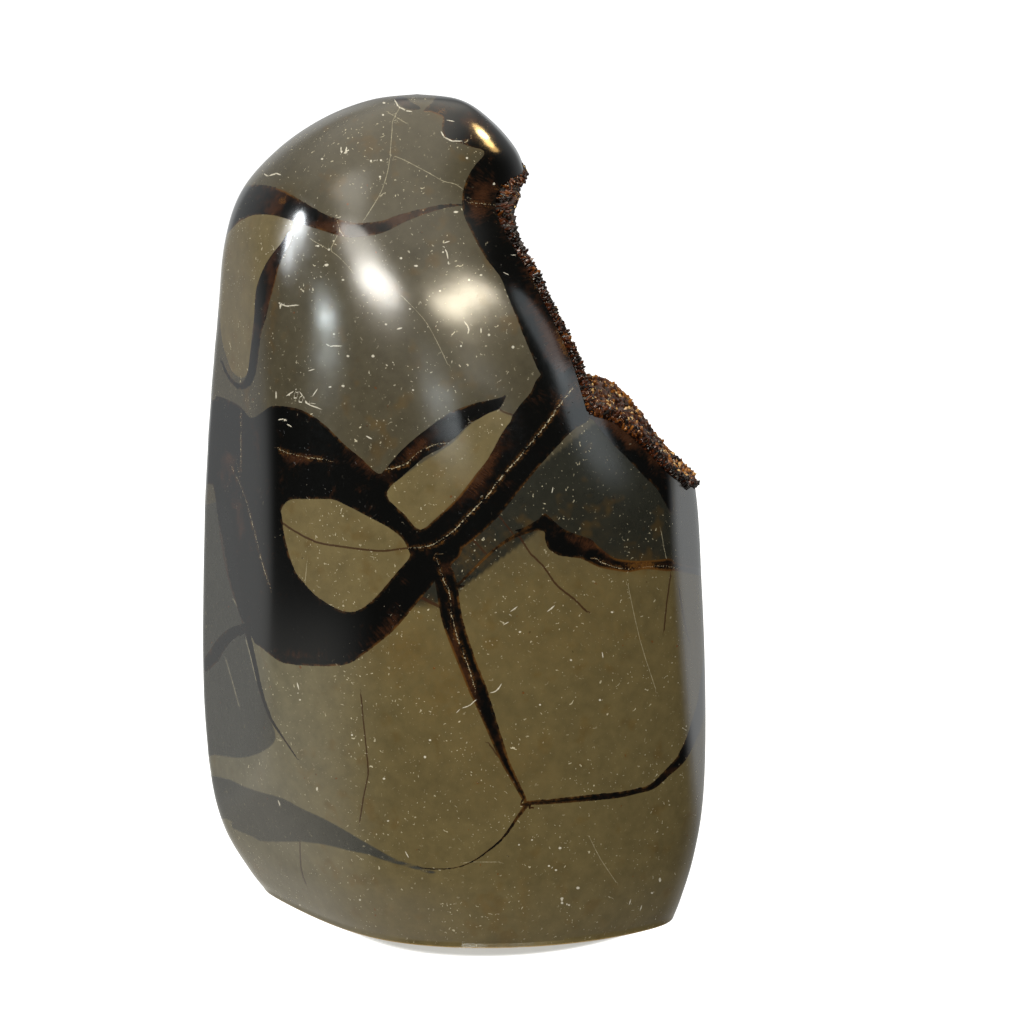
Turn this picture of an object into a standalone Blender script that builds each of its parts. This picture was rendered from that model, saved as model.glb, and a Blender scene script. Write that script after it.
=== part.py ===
"""Septarian nodule: a polished standing stone with a crystal-lined hollow at its upper right.

Two pieces: the stone, ground and polished all round and sawn flat underneath, and the crust of
calcite crystals that lines the hollow. Lengths below are in millimetres. The model stands on z = 0,
+Z up, with its broad polished face to -Y.
"""
import math
import random

import bmesh
import bpy
import numpy as np

MM = 0.001

# The stone's outline at rising heights: height, then how far it reaches left, right, front and back.
OUTLINE = (
    (0.0, -45.5, 52.8, -35.4, 31.0),
    (5.0, -49.5, 54.6, -36.8, 32.0),
    (15.0, -55.2, 57.4, -38.4, 33.5),
    (30.0, -58.6, 59.8, -39.5, 35.5),
    (50.0, -59.8, 60.4, -41.0, 37.0),
    (75.0, -59.3, 59.4, -41.5, 37.0),
    (100.0, -58.0, 57.4, -41.0, 36.0),
    (120.0, -56.2, 50.5, -39.0, 34.0),
    (140.0, -53.8, 41.5, -36.0, 31.0),
    (156.0, -51.8, 31.0, -32.0, 27.0),
    (168.0, -47.6, 20.0, -27.0, 22.5),
    (177.6, -39.0, 15.4, -22.0, 18.0),
    (184.7, -28.4, 9.0, -15.5, 12.0),
    (188.8, -17.4, 2.4, -9.0, 6.0),
    (190.0, -7.0, -7.0, -1.0, -1.0),
)

# The plan, in halves of the stone's width and depth: one broad round front, and flatter ground faces
# behind it, each with the direction it looks in (degrees) and its distance from the middle.
FRONT_CENTRE = (0.12, 0.75)
FRONT_RADII = (1.2, 1.75)
BACK_FACES = ((0.0, 1.0), (44.0, 1.2), (82.0, 0.99), (118.0, 1.06), (158.0, 1.05))
FACE_ROUNDING = 30.0

# Flat faces ground on the two sides of the front: direction it looks in (degrees), a point on it,
# and how much it leans back for each millimetre of height.
LAPPED_FACES = (
    (207.0, (-37.5, -27.0, 100.0), 0.0),
    (-15.0, (50.0, -28.0, 100.0), 0.07),
    (215.0, (-33.8, -5.9, 0.0), -0.42),
)
LAP_SCALE = 45.0

# The hollow from its lower end to its upper end: the height of its floor at the front face, how far
# that is to the right, the thickness of the crystals there, and how far the floor drops to the back.
HOLLOW_PROFILE = (
    (91.5, 64.0, 3.6, 3.2),
    (99.5, 56.6, 3.7, 2.8),
    (104.0, 52.2, 3.7, 2.2),
    (107.7, 48.6, 3.7, 1.8),
    (113.4, 43.3, 3.9, 0.6),
    (119.1, 36.6, 3.9, 0.2),
    (121.2, 31.4, 3.6, 0.8),
    (125.1, 29.9, 2.9, 1.6),
    (132.3, 27.7, 2.4, 2.9),
    (140.6, 24.0, 2.1, 3.4),
    (151.2, 18.6, 2.8, 2.6),
    (158.3, 14.5, 3.8, 1.2),
    (164.6, 11.9, 6.6, 0.4),
    (170.2, 12.6, 5.4, 0.2),
    (173.2, 17.2, 2.4, 0.2),
    (175.4, 30.0, 1.0, 0.2),
)
CAVE_DEPTH = 6.5
CAVE_HEIGHT = 133.0
CAVE_HALF_HEIGHT = 30.0
CAVE_MIDDLE = -1.0
CAVE_HALF_DEPTH = 27.0
FRONT_EDGE = -32.0
BACK_EDGE = 30.0
FLOOR_LUMP = 0.8
CUTTER_REACH = 120.0
HOLLOW_FRONT = -62.0
HOLLOW_BACK = 58.0

# The crystal crust on that floor.
CRUST_GAP = 0.35
CRYSTAL_SPACING = 4.3
CRYSTAL_JITTER = 0.27
CRYSTAL_TIPS = (0.78, 1.0)
CRYSTAL_VALLEYS = (0.48, 0.62)

BODY_RINGS = 46
BODY_SEGMENTS = 56
SHARP_EDGE = 35.0


def clear_scene():
    """Remove whatever the scene holds."""
    for item in list(bpy.data.objects):
        bpy.data.objects.remove(item, do_unlink=True)


def curve_through(points, place):
    """Smooth curve through a list of points, read at place (0 at the first, 1 at the second...)."""
    points = np.asarray(points, float)
    last = len(points) - 1
    start = np.clip(np.floor(place).astype(int), 0, last - 1)
    part = (place - start)[..., None]
    before = points[np.maximum(start - 1, 0)]
    here = points[start]
    there = points[start + 1]
    after = points[np.minimum(start + 2, last)]
    return 0.5 * (2 * here + (there - before) * part
                  + (2 * before - 5 * here + 4 * there - after) * part ** 2
                  + (3 * here - before - 3 * there + after) * part ** 3)


def plan_measure(x, y, z, row):
    """How far out a point lies in the stone's plan: below 1 inside it, 1 on its face."""
    left, right, front, back = row
    across = (2 * x - left - right) / (right - left)
    along = (2 * y - front - back) / (back - front)
    terms = [np.hypot((across - FRONT_CENTRE[0]) / FRONT_RADII[0],
                      (along - FRONT_CENTRE[1]) / FRONT_RADII[1])]
    for degrees, distance in BACK_FACES:
        turn = math.radians(degrees)
        terms.append((across * math.cos(turn) + along * math.sin(turn)) / distance)
    for degrees, point, lean in LAPPED_FACES:
        turn = math.radians(degrees)
        out = (x - point[0]) * math.cos(turn) + (y - point[1]) * math.sin(turn)
        terms.append(1 + (out + lean * (z - point[2])) / LAP_SCALE)
    total = sum(np.maximum(term, 0) ** FACE_ROUNDING for term in terms)
    return total ** (1 / FACE_ROUNDING)


def spread(values, lowest, highest):
    """Values moved evenly apart or together so that they reach exactly from lowest to highest."""
    return lowest + (values - values.min()) * (highest - lowest) / (values.max() - values.min())


def stone_rings(rings, segments):
    """Points on the uncut stone, ring by ring from the sawn base to the top."""
    rows = curve_through(OUTLINE, np.linspace(0, len(OUTLINE) - 1, rings))
    turn = np.linspace(0, 2 * math.pi, segments, endpoint=False)
    points = np.zeros((rings, segments, 3))
    for index, (height, left, right, front, back) in enumerate(rows):
        middle = ((left + right) / 2, (front + back) / 2)
        step = (np.cos(turn) * (right - left) / 2, np.sin(turn) * (back - front) / 2)
        if right - left < 0.01:
            points[index] = (middle[0], middle[1], height)
            continue
        near = np.zeros(segments)
        far = np.full(segments, 1.6)
        for _ in range(36):
            reach = (near + far) / 2
            inside = plan_measure(middle[0] + reach * step[0], middle[1] + reach * step[1],
                                  height, (left, right, front, back)) < 1
            near = np.where(inside, reach, near)
            far = np.where(inside, far, reach)
        points[index, :, 0] = spread(middle[0] + near * step[0], left, right)
        points[index, :, 1] = spread(middle[1] + near * step[1], front, back)
        points[index, :, 2] = height
    return points


def floor_lump(y, along):
    """Low irregular swells of the hollow's floor."""
    return FLOOR_LUMP * (np.sin(0.31 * y + 0.9 + 0.8 * along) + np.sin(0.47 * y - 1.3 * along)
                         + np.sin(1.7 * along + 0.12 * y)) / 2


def hollow_floor(y, along, share, gap=0.0):
    """Points over the hollow's floor at depth y and place along its profile.

    The share is 0 on the floor and 1 at the tips of the crystals.
    """
    rim = curve_through(HOLLOW_PROFILE, along)
    ahead = curve_through(HOLLOW_PROFILE, np.minimum(along + 0.05, len(HOLLOW_PROFILE) - 1.0))
    behind = curve_through(HOLLOW_PROFILE, np.maximum(along - 0.05, 0.0))
    slope = ahead - behind
    length = np.hypot(slope[..., 0], slope[..., 1])
    out_x = slope[..., 0] / length
    out_z = -slope[..., 1] / length
    up_wall = np.exp(-((rim[..., 0] - CAVE_HEIGHT) / CAVE_HALF_HEIGHT) ** 4)
    across = np.clip(1 - ((y - CAVE_MIDDLE) / CAVE_HALF_DEPTH) ** 2, 0, 1)
    backward = np.clip((y - FRONT_EDGE) / (BACK_EDGE - FRONT_EDGE), 0, 1)
    offset = (gap + share * rim[..., 2] - CAVE_DEPTH * up_wall * across ** 1.3 - rim[..., 3] * backward
              + floor_lump(y, along) * np.sqrt(across))
    return np.stack([rim[..., 1] + offset * out_x, y + 0 * offset, rim[..., 0] + offset * out_z], -1)


def outline_middle():
    """Middle of the whole outline in plan, which the model's vertical axis runs through."""
    rows = curve_through(OUTLINE, np.linspace(0, len(OUTLINE) - 1, BODY_RINGS))
    return ((rows[:, 1].min() + rows[:, 2].max()) / 2, (rows[:, 3].min() + rows[:, 4].max()) / 2)


def mesh_object(name, vertices, faces):
    """A named object from points in millimetres and faces of point indices."""
    middle = outline_middle()
    mesh = bpy.data.meshes.new(name)
    mesh.from_pydata([(MM * (x - middle[0]), MM * (y - middle[1]), MM * z) for x, y, z in vertices],
                     [], faces)
    mesh.validate()
    item = bpy.data.objects.new(name, mesh)
    bpy.context.scene.collection.objects.link(item)
    shape = bmesh.new()
    shape.from_mesh(mesh)
    bmesh.ops.recalc_face_normals(shape, faces=shape.faces)
    bmesh.ops.triangulate(shape, faces=shape.faces)
    shape.to_mesh(mesh)
    shape.free()
    return item


def grid_faces(rows, columns, first=0, closed=False):
    """Four-sided faces of a grid of points stored row by row."""
    faces = []
    for row in range(rows - 1):
        for column in range(columns if closed else columns - 1):
            following = (column + 1) % columns
            here = first + row * columns
            above = here + columns
            faces.append((here + column, here + following, above + following, above + column))
    return faces


def make_blank(name, rings, segments):
    """The whole stone before the hollow, closed by its sawn base and its top point."""
    points = stone_rings(rings, segments)
    body = points[:-1]
    vertices = [tuple(point) for point in body.reshape(-1, 3)]
    faces = grid_faces(rings - 1, segments, closed=True)
    middle = len(vertices)
    vertices.append((float(body[0, :, 0].mean()), float(body[0, :, 1].mean()), 0.0))
    top = len(vertices)
    vertices.append(tuple(points[-1, 0]))
    last = (rings - 2) * segments
    for segment in range(segments):
        following = (segment + 1) % segments
        faces.append((middle, following, segment))
        faces.append((top, last + segment, last + following))
    return mesh_object(name, vertices, faces)


def stone_material():
    """Polished grey limestone."""
    material = bpy.data.materials.new("polished_stone")
    material.use_nodes = True
    shader = material.node_tree.nodes["Principled BSDF"]
    shader.inputs["Base Color"].default_value = (0.125, 0.115, 0.080, 1.0)
    shader.inputs["Roughness"].default_value = 0.12
    shader.inputs["Metallic"].default_value = 0.0
    return material


def crystal_material():
    """Honey-brown calcite crystals."""
    material = bpy.data.materials.new("calcite_crystals")
    material.use_nodes = True
    shader = material.node_tree.nodes["Principled BSDF"]
    shader.inputs["Base Color"].default_value = (0.30, 0.13, 0.035, 1.0)
    shader.inputs["Roughness"].default_value = 0.25
    shader.inputs["Metallic"].default_value = 0.0
    return material


def shape_with(item, other, operation):
    """Cut or trim one object with a helper, and take the helper away."""
    cut = item.modifiers.new(operation.lower(), "BOOLEAN")
    cut.operation = operation
    cut.solver = "EXACT"
    cut.object = other
    result = bpy.data.meshes.new_from_object(item.evaluated_get(bpy.context.evaluated_depsgraph_get()))
    item.modifiers.clear()
    item.data = result
    bpy.data.objects.remove(other, do_unlink=True)


def floor_lattice():
    """Staggered, slightly irregular points of the hollow's floor: depth y and place along its rim."""
    draw = random.Random(11)
    places = np.linspace(0, len(HOLLOW_PROFILE) - 1, 400)
    rim = curve_through(HOLLOW_PROFILE, places)[:, :2]
    run = np.concatenate([[0], np.cumsum(np.hypot(*np.diff(rim, axis=0).T))])
    rows = int(run[-1] / (CRYSTAL_SPACING * 0.87))
    columns = int((HOLLOW_BACK - HOLLOW_FRONT) / CRYSTAL_SPACING)
    lattice = []
    for row in range(rows):
        for column in range(columns):
            reach = run[-1] * (row + CRYSTAL_JITTER * draw.uniform(-1, 1)) / (rows - 1)
            shift = 0.5 * (row % 2) + CRYSTAL_JITTER * draw.uniform(-1, 1)
            lattice.append((HOLLOW_FRONT + CRYSTAL_SPACING * (column + shift),
                            np.interp(reach, run, places)))
    return np.array(lattice), rows, columns


def lattice_triangles(rows, columns):
    """Triangles between the staggered rows of the floor's points."""
    triangles = []
    for row in range(rows - 1):
        for column in range(columns - 1):
            a = row * columns + column
            b = a + 1
            c = a + columns
            d = c + 1
            if row % 2:
                triangles += [(a, b, d), (a, d, c)]
            else:
                triangles += [(a, b, c), (b, d, c)]
    return triangles


def lattice_walls(rows, columns, upper, lower):
    """Four-sided faces that join the borders of two layers of the floor's points."""
    border = list(range(columns))
    border += [row * columns + columns - 1 for row in range(1, rows)]
    border += [(rows - 1) * columns + column for column in range(columns - 2, -1, -1)]
    border += [row * columns for row in range(rows - 2, 0, -1)]
    walls = []
    for index, point in enumerate(border):
        following = border[(index + 1) % len(border)]
        walls.append((upper + following, upper + point, lower + point, lower + following))
    return walls


def make_hollow_cutter():
    """The space of the hollow: its floor, carried far out to the right."""
    lattice, rows, columns = floor_lattice()
    floor = hollow_floor(lattice[:, 0], lattice[:, 1], 0.0)
    heights = curve_through(HOLLOW_PROFILE, lattice[:, 1])[:, 0]
    far = np.stack([np.full(len(lattice), CUTTER_REACH), lattice[:, 0], heights], -1)
    triangles = lattice_triangles(rows, columns)
    faces = triangles + [(len(floor) + c, len(floor) + b, len(floor) + a) for a, b, c in triangles]
    faces += lattice_walls(rows, columns, 0, len(floor))
    return mesh_object("hollow_cutter", list(far) + list(floor), faces)


def make_crust(trim):
    """The crystal crust: six-sided points with flat faces, trimmed to the stone's outline."""
    draw = random.Random(23)
    lattice, rows, columns = floor_lattice()
    tips = np.array([draw.uniform(*CRYSTAL_TIPS) for _ in lattice])
    vertices = list(hollow_floor(lattice[:, 0], lattice[:, 1], tips))
    triangles = lattice_triangles(rows, columns)
    faces = []
    for triangle in triangles:
        middle = lattice[list(triangle)].mean(axis=0)
        valley = len(vertices)
        vertices.append(hollow_floor(middle[0], middle[1], draw.uniform(*CRYSTAL_VALLEYS)))
        for index in range(3):
            faces.append((triangle[index], triangle[(index + 1) % 3], valley))
    under = len(vertices)
    vertices += list(hollow_floor(lattice[:, 0], lattice[:, 1], 0.0, CRUST_GAP))
    faces += [(under + c, under + b, under + a) for a, b, c in triangles]
    faces += lattice_walls(rows, columns, 0, under)
    crust = mesh_object("crystal_crust", vertices, faces)
    shape_with(crust, trim, "INTERSECT")
    crust.data.materials.clear()
    crust.data.materials.append(crystal_material())
    crust.data.shade_flat()
    return crust


def main():
    """Build the stone and its crust."""
    clear_scene()
    stone = make_blank("nodule", BODY_RINGS, BODY_SEGMENTS)
    shape_with(stone, make_hollow_cutter(), "DIFFERENCE")
    stone.data.materials.clear()
    stone.data.materials.append(stone_material())
    stone.data.shade_smooth()
    stone.data.set_sharp_from_angle(angle=math.radians(SHARP_EDGE))
    make_crust(make_blank("crust_trim", BODY_RINGS, BODY_SEGMENTS))


main()
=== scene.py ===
"""Looks of the septarian nodule: its polished, veined stone and the crystal crust of its hollow.

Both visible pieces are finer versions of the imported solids, from the same formulas. The pattern in the
stone is drawn with outlines and lines in pixels of the photograph. They are laid on the stone along the
camera's view, so that every vein runs through the stone and comes out again on its sides and back.
Lengths are in millimetres, except where a name says otherwise.
"""

import math
import random

import bmesh
import bpy
import numpy as np
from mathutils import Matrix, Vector


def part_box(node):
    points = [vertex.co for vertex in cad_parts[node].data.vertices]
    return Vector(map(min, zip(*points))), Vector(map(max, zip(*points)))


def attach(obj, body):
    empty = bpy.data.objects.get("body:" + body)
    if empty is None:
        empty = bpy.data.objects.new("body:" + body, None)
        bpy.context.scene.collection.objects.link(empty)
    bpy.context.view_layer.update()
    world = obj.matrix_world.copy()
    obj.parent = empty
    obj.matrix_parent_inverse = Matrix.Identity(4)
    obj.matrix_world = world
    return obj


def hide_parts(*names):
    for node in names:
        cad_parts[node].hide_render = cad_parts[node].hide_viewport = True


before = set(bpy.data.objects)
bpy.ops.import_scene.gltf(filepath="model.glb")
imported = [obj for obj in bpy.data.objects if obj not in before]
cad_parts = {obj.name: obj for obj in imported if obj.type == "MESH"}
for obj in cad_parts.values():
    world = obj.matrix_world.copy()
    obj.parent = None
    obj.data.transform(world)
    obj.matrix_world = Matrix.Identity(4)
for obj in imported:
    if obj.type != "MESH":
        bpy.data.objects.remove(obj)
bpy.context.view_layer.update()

MM = 0.001
PI = math.pi

# The camera: a long way off, a little above the stone.
CAMERA_DISTANCE = 600.0
CAMERA_RISE = 10.0
CAMERA_AIM = (14.2, 2.17, 93.8)
IMAGE_PIXELS = 1024
FOCAL_PIXELS = 2574.0
SENSOR_WIDTH = 36.0
CAMERA_TURN = math.radians(CAMERA_RISE)
CAMERA_AWAY = np.array([0, math.cos(CAMERA_TURN), -math.sin(CAMERA_TURN)])
CAMERA_UP = np.array([0, math.sin(CAMERA_TURN), math.cos(CAMERA_TURN)])

# The stone's outline at rising heights: height, then how far it reaches left, right, front and back.
OUTLINE = (
    (0.0, -45.5, 52.8, -35.4, 31.0),
    (5.0, -49.5, 54.6, -36.8, 32.0),
    (15.0, -55.2, 57.4, -38.4, 33.5),
    (30.0, -58.6, 59.8, -39.5, 35.5),
    (50.0, -59.8, 60.4, -41.0, 37.0),
    (75.0, -59.3, 59.4, -41.5, 37.0),
    (100.0, -58.0, 57.4, -41.0, 36.0),
    (120.0, -56.2, 50.5, -39.0, 34.0),
    (140.0, -53.8, 41.5, -36.0, 31.0),
    (156.0, -51.8, 31.0, -32.0, 27.0),
    (168.0, -47.6, 20.0, -27.0, 22.5),
    (177.6, -39.0, 15.4, -22.0, 18.0),
    (184.7, -28.4, 9.0, -15.5, 12.0),
    (188.8, -17.4, 2.4, -9.0, 6.0),
    (190.0, -7.0, -7.0, -1.0, -1.0),
)

# The plan, in halves of the stone's width and depth: one broad round front, and flatter ground faces
# behind it, each with the direction it looks in (degrees) and its distance from the middle.
FRONT_CENTRE = (0.12, 0.75)
FRONT_RADII = (1.2, 1.75)
BACK_FACES = ((0.0, 1.0), (44.0, 1.2), (82.0, 0.99), (118.0, 1.06), (158.0, 1.05))
FACE_ROUNDING = 30.0

# Flat faces ground on the front: the direction each looks in (degrees), a point on it, and how much it
# leans back for each millimetre of height. The corner's is set farther out and rounder than in the solid.
LAPPED_FACES = (
    (207.0, (-37.5, -27.0, 100.0), 0.0),
    (-15.0, (50.0, -28.0, 100.0), 0.07),
)
CORNER_FACE = (215.0, (-36.0, -7.4, 0.0), -0.42)
RIDGE_ROUNDING = 80.0
CORNER_ROUNDING = 12.0
LAP_SCALE = 45.0

# The hollow from its lower end to its upper end: the height of its floor at the front face, how far
# that is to the right, the thickness of the crystals there, and how far the floor drops to the back.
HOLLOW_PROFILE = (
    (91.5, 64.0, 3.6, 3.2),
    (99.5, 56.6, 3.7, 2.8),
    (104.0, 52.2, 3.7, 2.2),
    (107.7, 48.6, 3.7, 1.8),
    (113.4, 43.3, 3.9, 0.6),
    (119.1, 36.6, 3.9, 0.2),
    (121.2, 31.4, 3.6, 0.8),
    (125.1, 29.9, 2.9, 1.6),
    (132.3, 27.7, 2.4, 2.9),
    (140.6, 24.0, 2.1, 3.4),
    (151.2, 18.6, 2.8, 2.6),
    (158.3, 14.5, 3.8, 1.2),
    (164.6, 11.9, 6.6, 0.4),
    (170.2, 12.6, 5.4, 0.2),
    (173.2, 17.2, 2.4, 0.2),
    (175.4, 30.0, 1.0, 0.2),
)
CAVE_DEPTH = 6.5
CAVE_HEIGHT = 133.0
CAVE_HALF_HEIGHT = 30.0
CAVE_MIDDLE = -1.0
CAVE_HALF_DEPTH = 27.0
FRONT_EDGE = -32.0
BACK_EDGE = 30.0
FLOOR_LUMP = 0.8
CUTTER_REACH = 120.0
HOLLOW_FRONT = -62.0
HOLLOW_BACK = 58.0
SLOPE_STEP = 0.05

# How finely the outline, the rim of the hollow and the turn round the stone are read.
OUTLINE_RINGS = 46
OUTLINE_STEPS = 3000
RIM_STEPS = 1200
TURN_STEPS = 4001

# How far the stone's face is sought, and in how many halvings.
FARTHEST_REACH = 1.6
HALVINGS = 30

# How finely the visible stone is made, and the slight waviness that its polish leaves.
RINGS = 236
SEGMENTS = 404
FRONT_DENSITY = 2.2
FLOOR_STEP = 2.4
POLISH_WAVE = 0.12

# Slight swells that the polish has left on the front, in photograph pixels: middle, radii, tilt, and
# height in millimetres. They gather the reflections of the studio lights.
FRONT_SWELLS = (
    ((400, 330), (180, 150), 0, 1.5), ((400, 288), (170, 62), 0, 0.32), ((378, 280), (46, 42), -20, 0.08),
    ((466, 302), (60, 30), -25, 0.06), ((325, 318), (24, 24), 0, 0.14), ((456, 388), (70, 22), -12, 0.09),
    ((565, 440), (60, 40), 30, 0.15), ((330, 620), (90, 60), 0, 0.3), ((560, 640), (110, 100), 0, 0.3),
    ((430, 830), (150, 60), 0, 0.3),
)
POLISH_DEPTH = 0.55
SHARP_EDGE = 35.0

# How finely the stone's reach is tabled, and where the hollow's floor is sought in it.
REACH_TURNS = 360
DEPTH_STEPS = 481
SHORTEST_ROW = 12

# The crust of the hollow: the spacing of its rows, its columns, and the shares of its thickness that its
# bed and its underside take. At its low right end it is thinner.
CRUST_ROW = 0.8
CRUST_COLUMNS = 90
CRUST_BED = 0.62
CRUST_ROUGHNESS = 0.16
CRUST_INSET = 0.2
CRUST_MIDDLE = 0.4
CRUST_UNDERSIDE = 0.02
LOW_END_SHARE = 0.68
LOW_END_HEIGHTS = (98.0, 110.0)
LIP_SHARE = 0.05

# Its six-sided crystals: their number, how deep they stand in the bed, how much they lean, and their
# sizes. Radii are in millimetres, lengths in radii, and shoulders in lengths. Every third crystal
# stands at the front lip, where they are thinner and longer.
CRYSTALS = 9600
CRYSTAL_SINK = 0.2
CRYSTAL_AIM = 1.4
CRYSTAL_LEAN = 0.32
CRYSTAL_SIDE = (0.3, 0.9, 0.1)
CRYSTAL_RADII = (0.25, 0.6)
CRYSTAL_LENGTHS = (1.8, 3.2)
CRYSTAL_TAPER = 0.92
CRYSTAL_FLATNESS = 0.86
SHOULDER_SHARES = (0.6, 0.85)
SIDES = 6
SEED = 23
LIP_EVERY = 3
LIP_LEAN = 0.25
LIP_RADII = (0.18, 0.4)
LIP_LENGTHS = (3.0, 5.0)
LIP_TINT = 0.75

# How pale the bed is, and from which share of the crust's depth it is golden inside.
INNER_SHARES = (LIP_SHARE, 6 * LIP_SHARE)
BED_TINT = 0.3
BED_TINT_CHANGE = 0.25
UNDERSIDE_TINT = 0.1
INNER_GOLD = 0.7

# How golden the crust is at rising heights.
GOLD_LEVELS = (
    (95.0, 0.05), (107.0, 0.1), (113.0, 0.4), (118.0, 0.8), (124.0, 0.6), (130.0, 0.25), (145.0, 0.2),
    (158.0, 0.3), (165.0, 0.45), (175.0, 0.4),
)

# Outlines of the dark calcite, in photograph pixels.
BIG_VEIN = (
    (150, 396), (212, 400), (216, 396), (228, 400), (241, 407), (251, 418), (264, 411), (272, 406),
    (289, 407), (306, 412), (325, 425), (345, 445), (362, 459), (374, 471), (384, 477), (396, 492),
    (414, 514), (430, 526), (446, 538), (462, 552), (447, 568), (437, 578), (432, 585), (422, 597),
    (408, 614), (396, 628), (381, 641), (364, 654), (350, 663), (335, 666), (313, 666), (289, 664),
    (277, 660), (262, 648), (254, 642), (247, 626), (241, 618), (236, 602), (229, 578), (225, 555),
    (221, 533), (218, 520), (214, 490), (206, 484), (150, 484),
)
UPPER_BRANCH = (
    (376, 474), (381, 474), (398, 454), (413, 440), (432, 425), (449, 413), (466, 406), (480, 402),
    (502, 397), (508, 392), (500, 408), (485, 416), (471, 423), (456, 437), (442, 448), (425, 457),
    (405, 474), (388, 489),
)
RIGHT_BRANCH = (
    (420, 528), (434, 520), (459, 496), (476, 471), (495, 440), (512, 416), (520, 405), (531, 392),
    (541, 375), (573, 367), (584, 400), (590, 418), (577, 427), (566, 437), (543, 462), (519, 491),
    (495, 520), (471, 542), (456, 554), (446, 577), (437, 561),
)
HOLLOW_BAND = (
    (437, 60), (437, 95), (423, 111), (431, 112), (441, 116), (443, 119), (442, 125), (445, 138),
    (460, 143), (472, 147), (483, 150), (484, 155), (477, 163), (471, 171), (465, 184), (462, 199),
    (464, 215), (471, 231), (479, 247), (488, 261), (501, 278), (507, 294), (515, 314), (523, 334),
    (531, 353), (541, 375), (560, 398), (590, 418), (660, 380), (660, 60),
)
BLOCK_BAND = (
    (586, 413), (594, 421), (608, 439), (626, 457), (643, 475), (657, 489), (665, 503), (671, 513),
    (673, 505), (672, 470), (700, 440), (650, 400), (600, 396),
)
TOP_SPOT = ((393, 100), (397, 97), (405, 97), (411, 102), (421, 108), (414, 110), (405, 108), (399, 104))

# Outlines of the lenses of stone that the calcite encloses.
EYE_LENS = (
    (281, 510), (289, 500), (306, 499), (325, 499), (335, 500), (352, 508), (369, 517), (388, 527),
    (402, 538), (408, 549), (410, 557), (398, 571), (388, 583), (376, 597), (364, 607), (353, 612),
    (340, 610), (325, 602), (313, 593), (304, 583), (295, 571), (289, 554), (284, 534), (282, 517),
)
DIAMOND_LENS = (
    (386, 493), (413, 469), (442, 450), (456, 440), (471, 424), (497, 410), (512, 417), (502, 433),
    (488, 459), (476, 474), (459, 496), (437, 517), (420, 530), (405, 515),
)
CORNER_LENS = (
    (228, 232), (231, 226), (249, 214), (287, 217), (293, 226), (287, 237), (279, 246), (272, 257),
    (262, 272), (257, 289), (255, 302), (254, 318), (252, 333), (250, 356), (249, 371), (241, 378),
    (232, 371), (228, 361), (222, 340), (219, 300), (222, 260),
)

# The outline of a wedge of calcite under the darker block at the right.
BLOCK_WEDGE = (
    (512, 531), (523, 528), (539, 519), (545, 513), (558, 525), (570, 532), (590, 539), (598, 546),
    (608, 554), (618, 559), (637, 561), (657, 560), (672, 559), (673, 571), (647, 569), (630, 572),
    (618, 571), (602, 568), (592, 564), (582, 559), (570, 557), (558, 555), (548, 548), (545, 538),
    (544, 531), (531, 531), (519, 533),
)
VEIN_OUTLINES = (BIG_VEIN, UPPER_BRANCH, RIGHT_BRANCH, HOLLOW_BAND, BLOCK_BAND, TOP_SPOT, BLOCK_WEDGE)

# Outlines of the slate-grey stone.
SLATE_LENS = (
    (150, 770), (220, 777), (241, 785), (257, 791), (282, 798), (301, 808), (325, 819), (350, 833),
    (374, 847), (398, 860), (422, 867), (437, 873), (432, 874), (410, 868), (386, 861), (369, 855),
    (350, 851), (325, 845), (301, 842), (277, 842), (260, 841), (253, 837), (232, 828), (226, 819),
    (150, 812),
)
LEFT_SLATE = (
    (150, 560), (222, 500), (236, 560), (244, 616), (250, 650), (257, 682), (267, 712), (276, 738),
    (262, 752), (240, 758), (215, 755), (150, 748),
)

# Dark lines of changing width: each point has its place and half width, in photograph pixels.
SHOULDER_VEIN = (
    (212, 232, 13), (228, 214, 13), (241, 206, 13), (253, 200, 15), (272, 201, 14), (289, 207, 12),
    (306, 215, 10), (325, 223, 8), (345, 229, 8), (359, 230, 7), (381, 227, 6), (403, 218, 4.4),
    (425, 211, 2.9), (446, 206, 1.9), (461, 205, 0.7),
)
CORNER_VEIN = (
    (290, 234, 3), (284, 246, 4), (276, 258, 5.5), (270, 272, 7.5), (265, 288, 8.3), (262, 302, 7.2),
    (260, 318, 5.8), (257, 333, 4.2), (254, 356, 4.2), (252, 371, 4), (247, 383, 4), (238, 386, 2.5),
    (228, 376, 1.5), (222, 362, 1),
)
MAIN_STEM = (
    (437, 566, 9), (445, 578, 10.5), (451, 614, 10.5), (458, 638, 9.7), (470, 670, 9), (478, 690, 9),
    (482, 700, 8), (493.5, 731, 6), (504.5, 760, 4.4), (514, 779, 3.2), (525, 800, 2.2),
)
RIGHT_FOOT = (
    (526, 803, 2.2), (558, 801, 2.6), (588, 798, 3), (618, 795, 3), (637, 791, 2.6), (653, 786, 3),
    (667, 773, 3.5), (681, 759, 4.5), (691, 739, 5), (697, 723, 5.5), (703, 699, 5), (707, 670, 5),
    (712, 640, 5),
)
LEFT_FOOT = (
    (526, 806, 2), (517, 818, 1.5), (509, 830, 1.3), (501, 840, 1), (489, 850, 0.8), (475, 860, 0.6),
    (459, 867, 0.5), (440, 869, 0.5), (420, 868, 0.5),
)
BLOCK_SPLIT = (
    (457, 586, 1.2), (469, 574, 1.2), (485, 558, 1.2), (499, 546, 1.4), (513, 537, 1.8), (524, 532, 2.4),
    (536, 527, 3.5),
)
BLOCK_END = ((662, 566, 4), (671, 566, 4), (700, 572, 3.5))
LEFT_ARM = ((245, 628, 5), (231, 634, 5.5), (222, 643, 6), (213, 657, 6.5), (205, 665, 6), (190, 672, 6))
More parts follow.
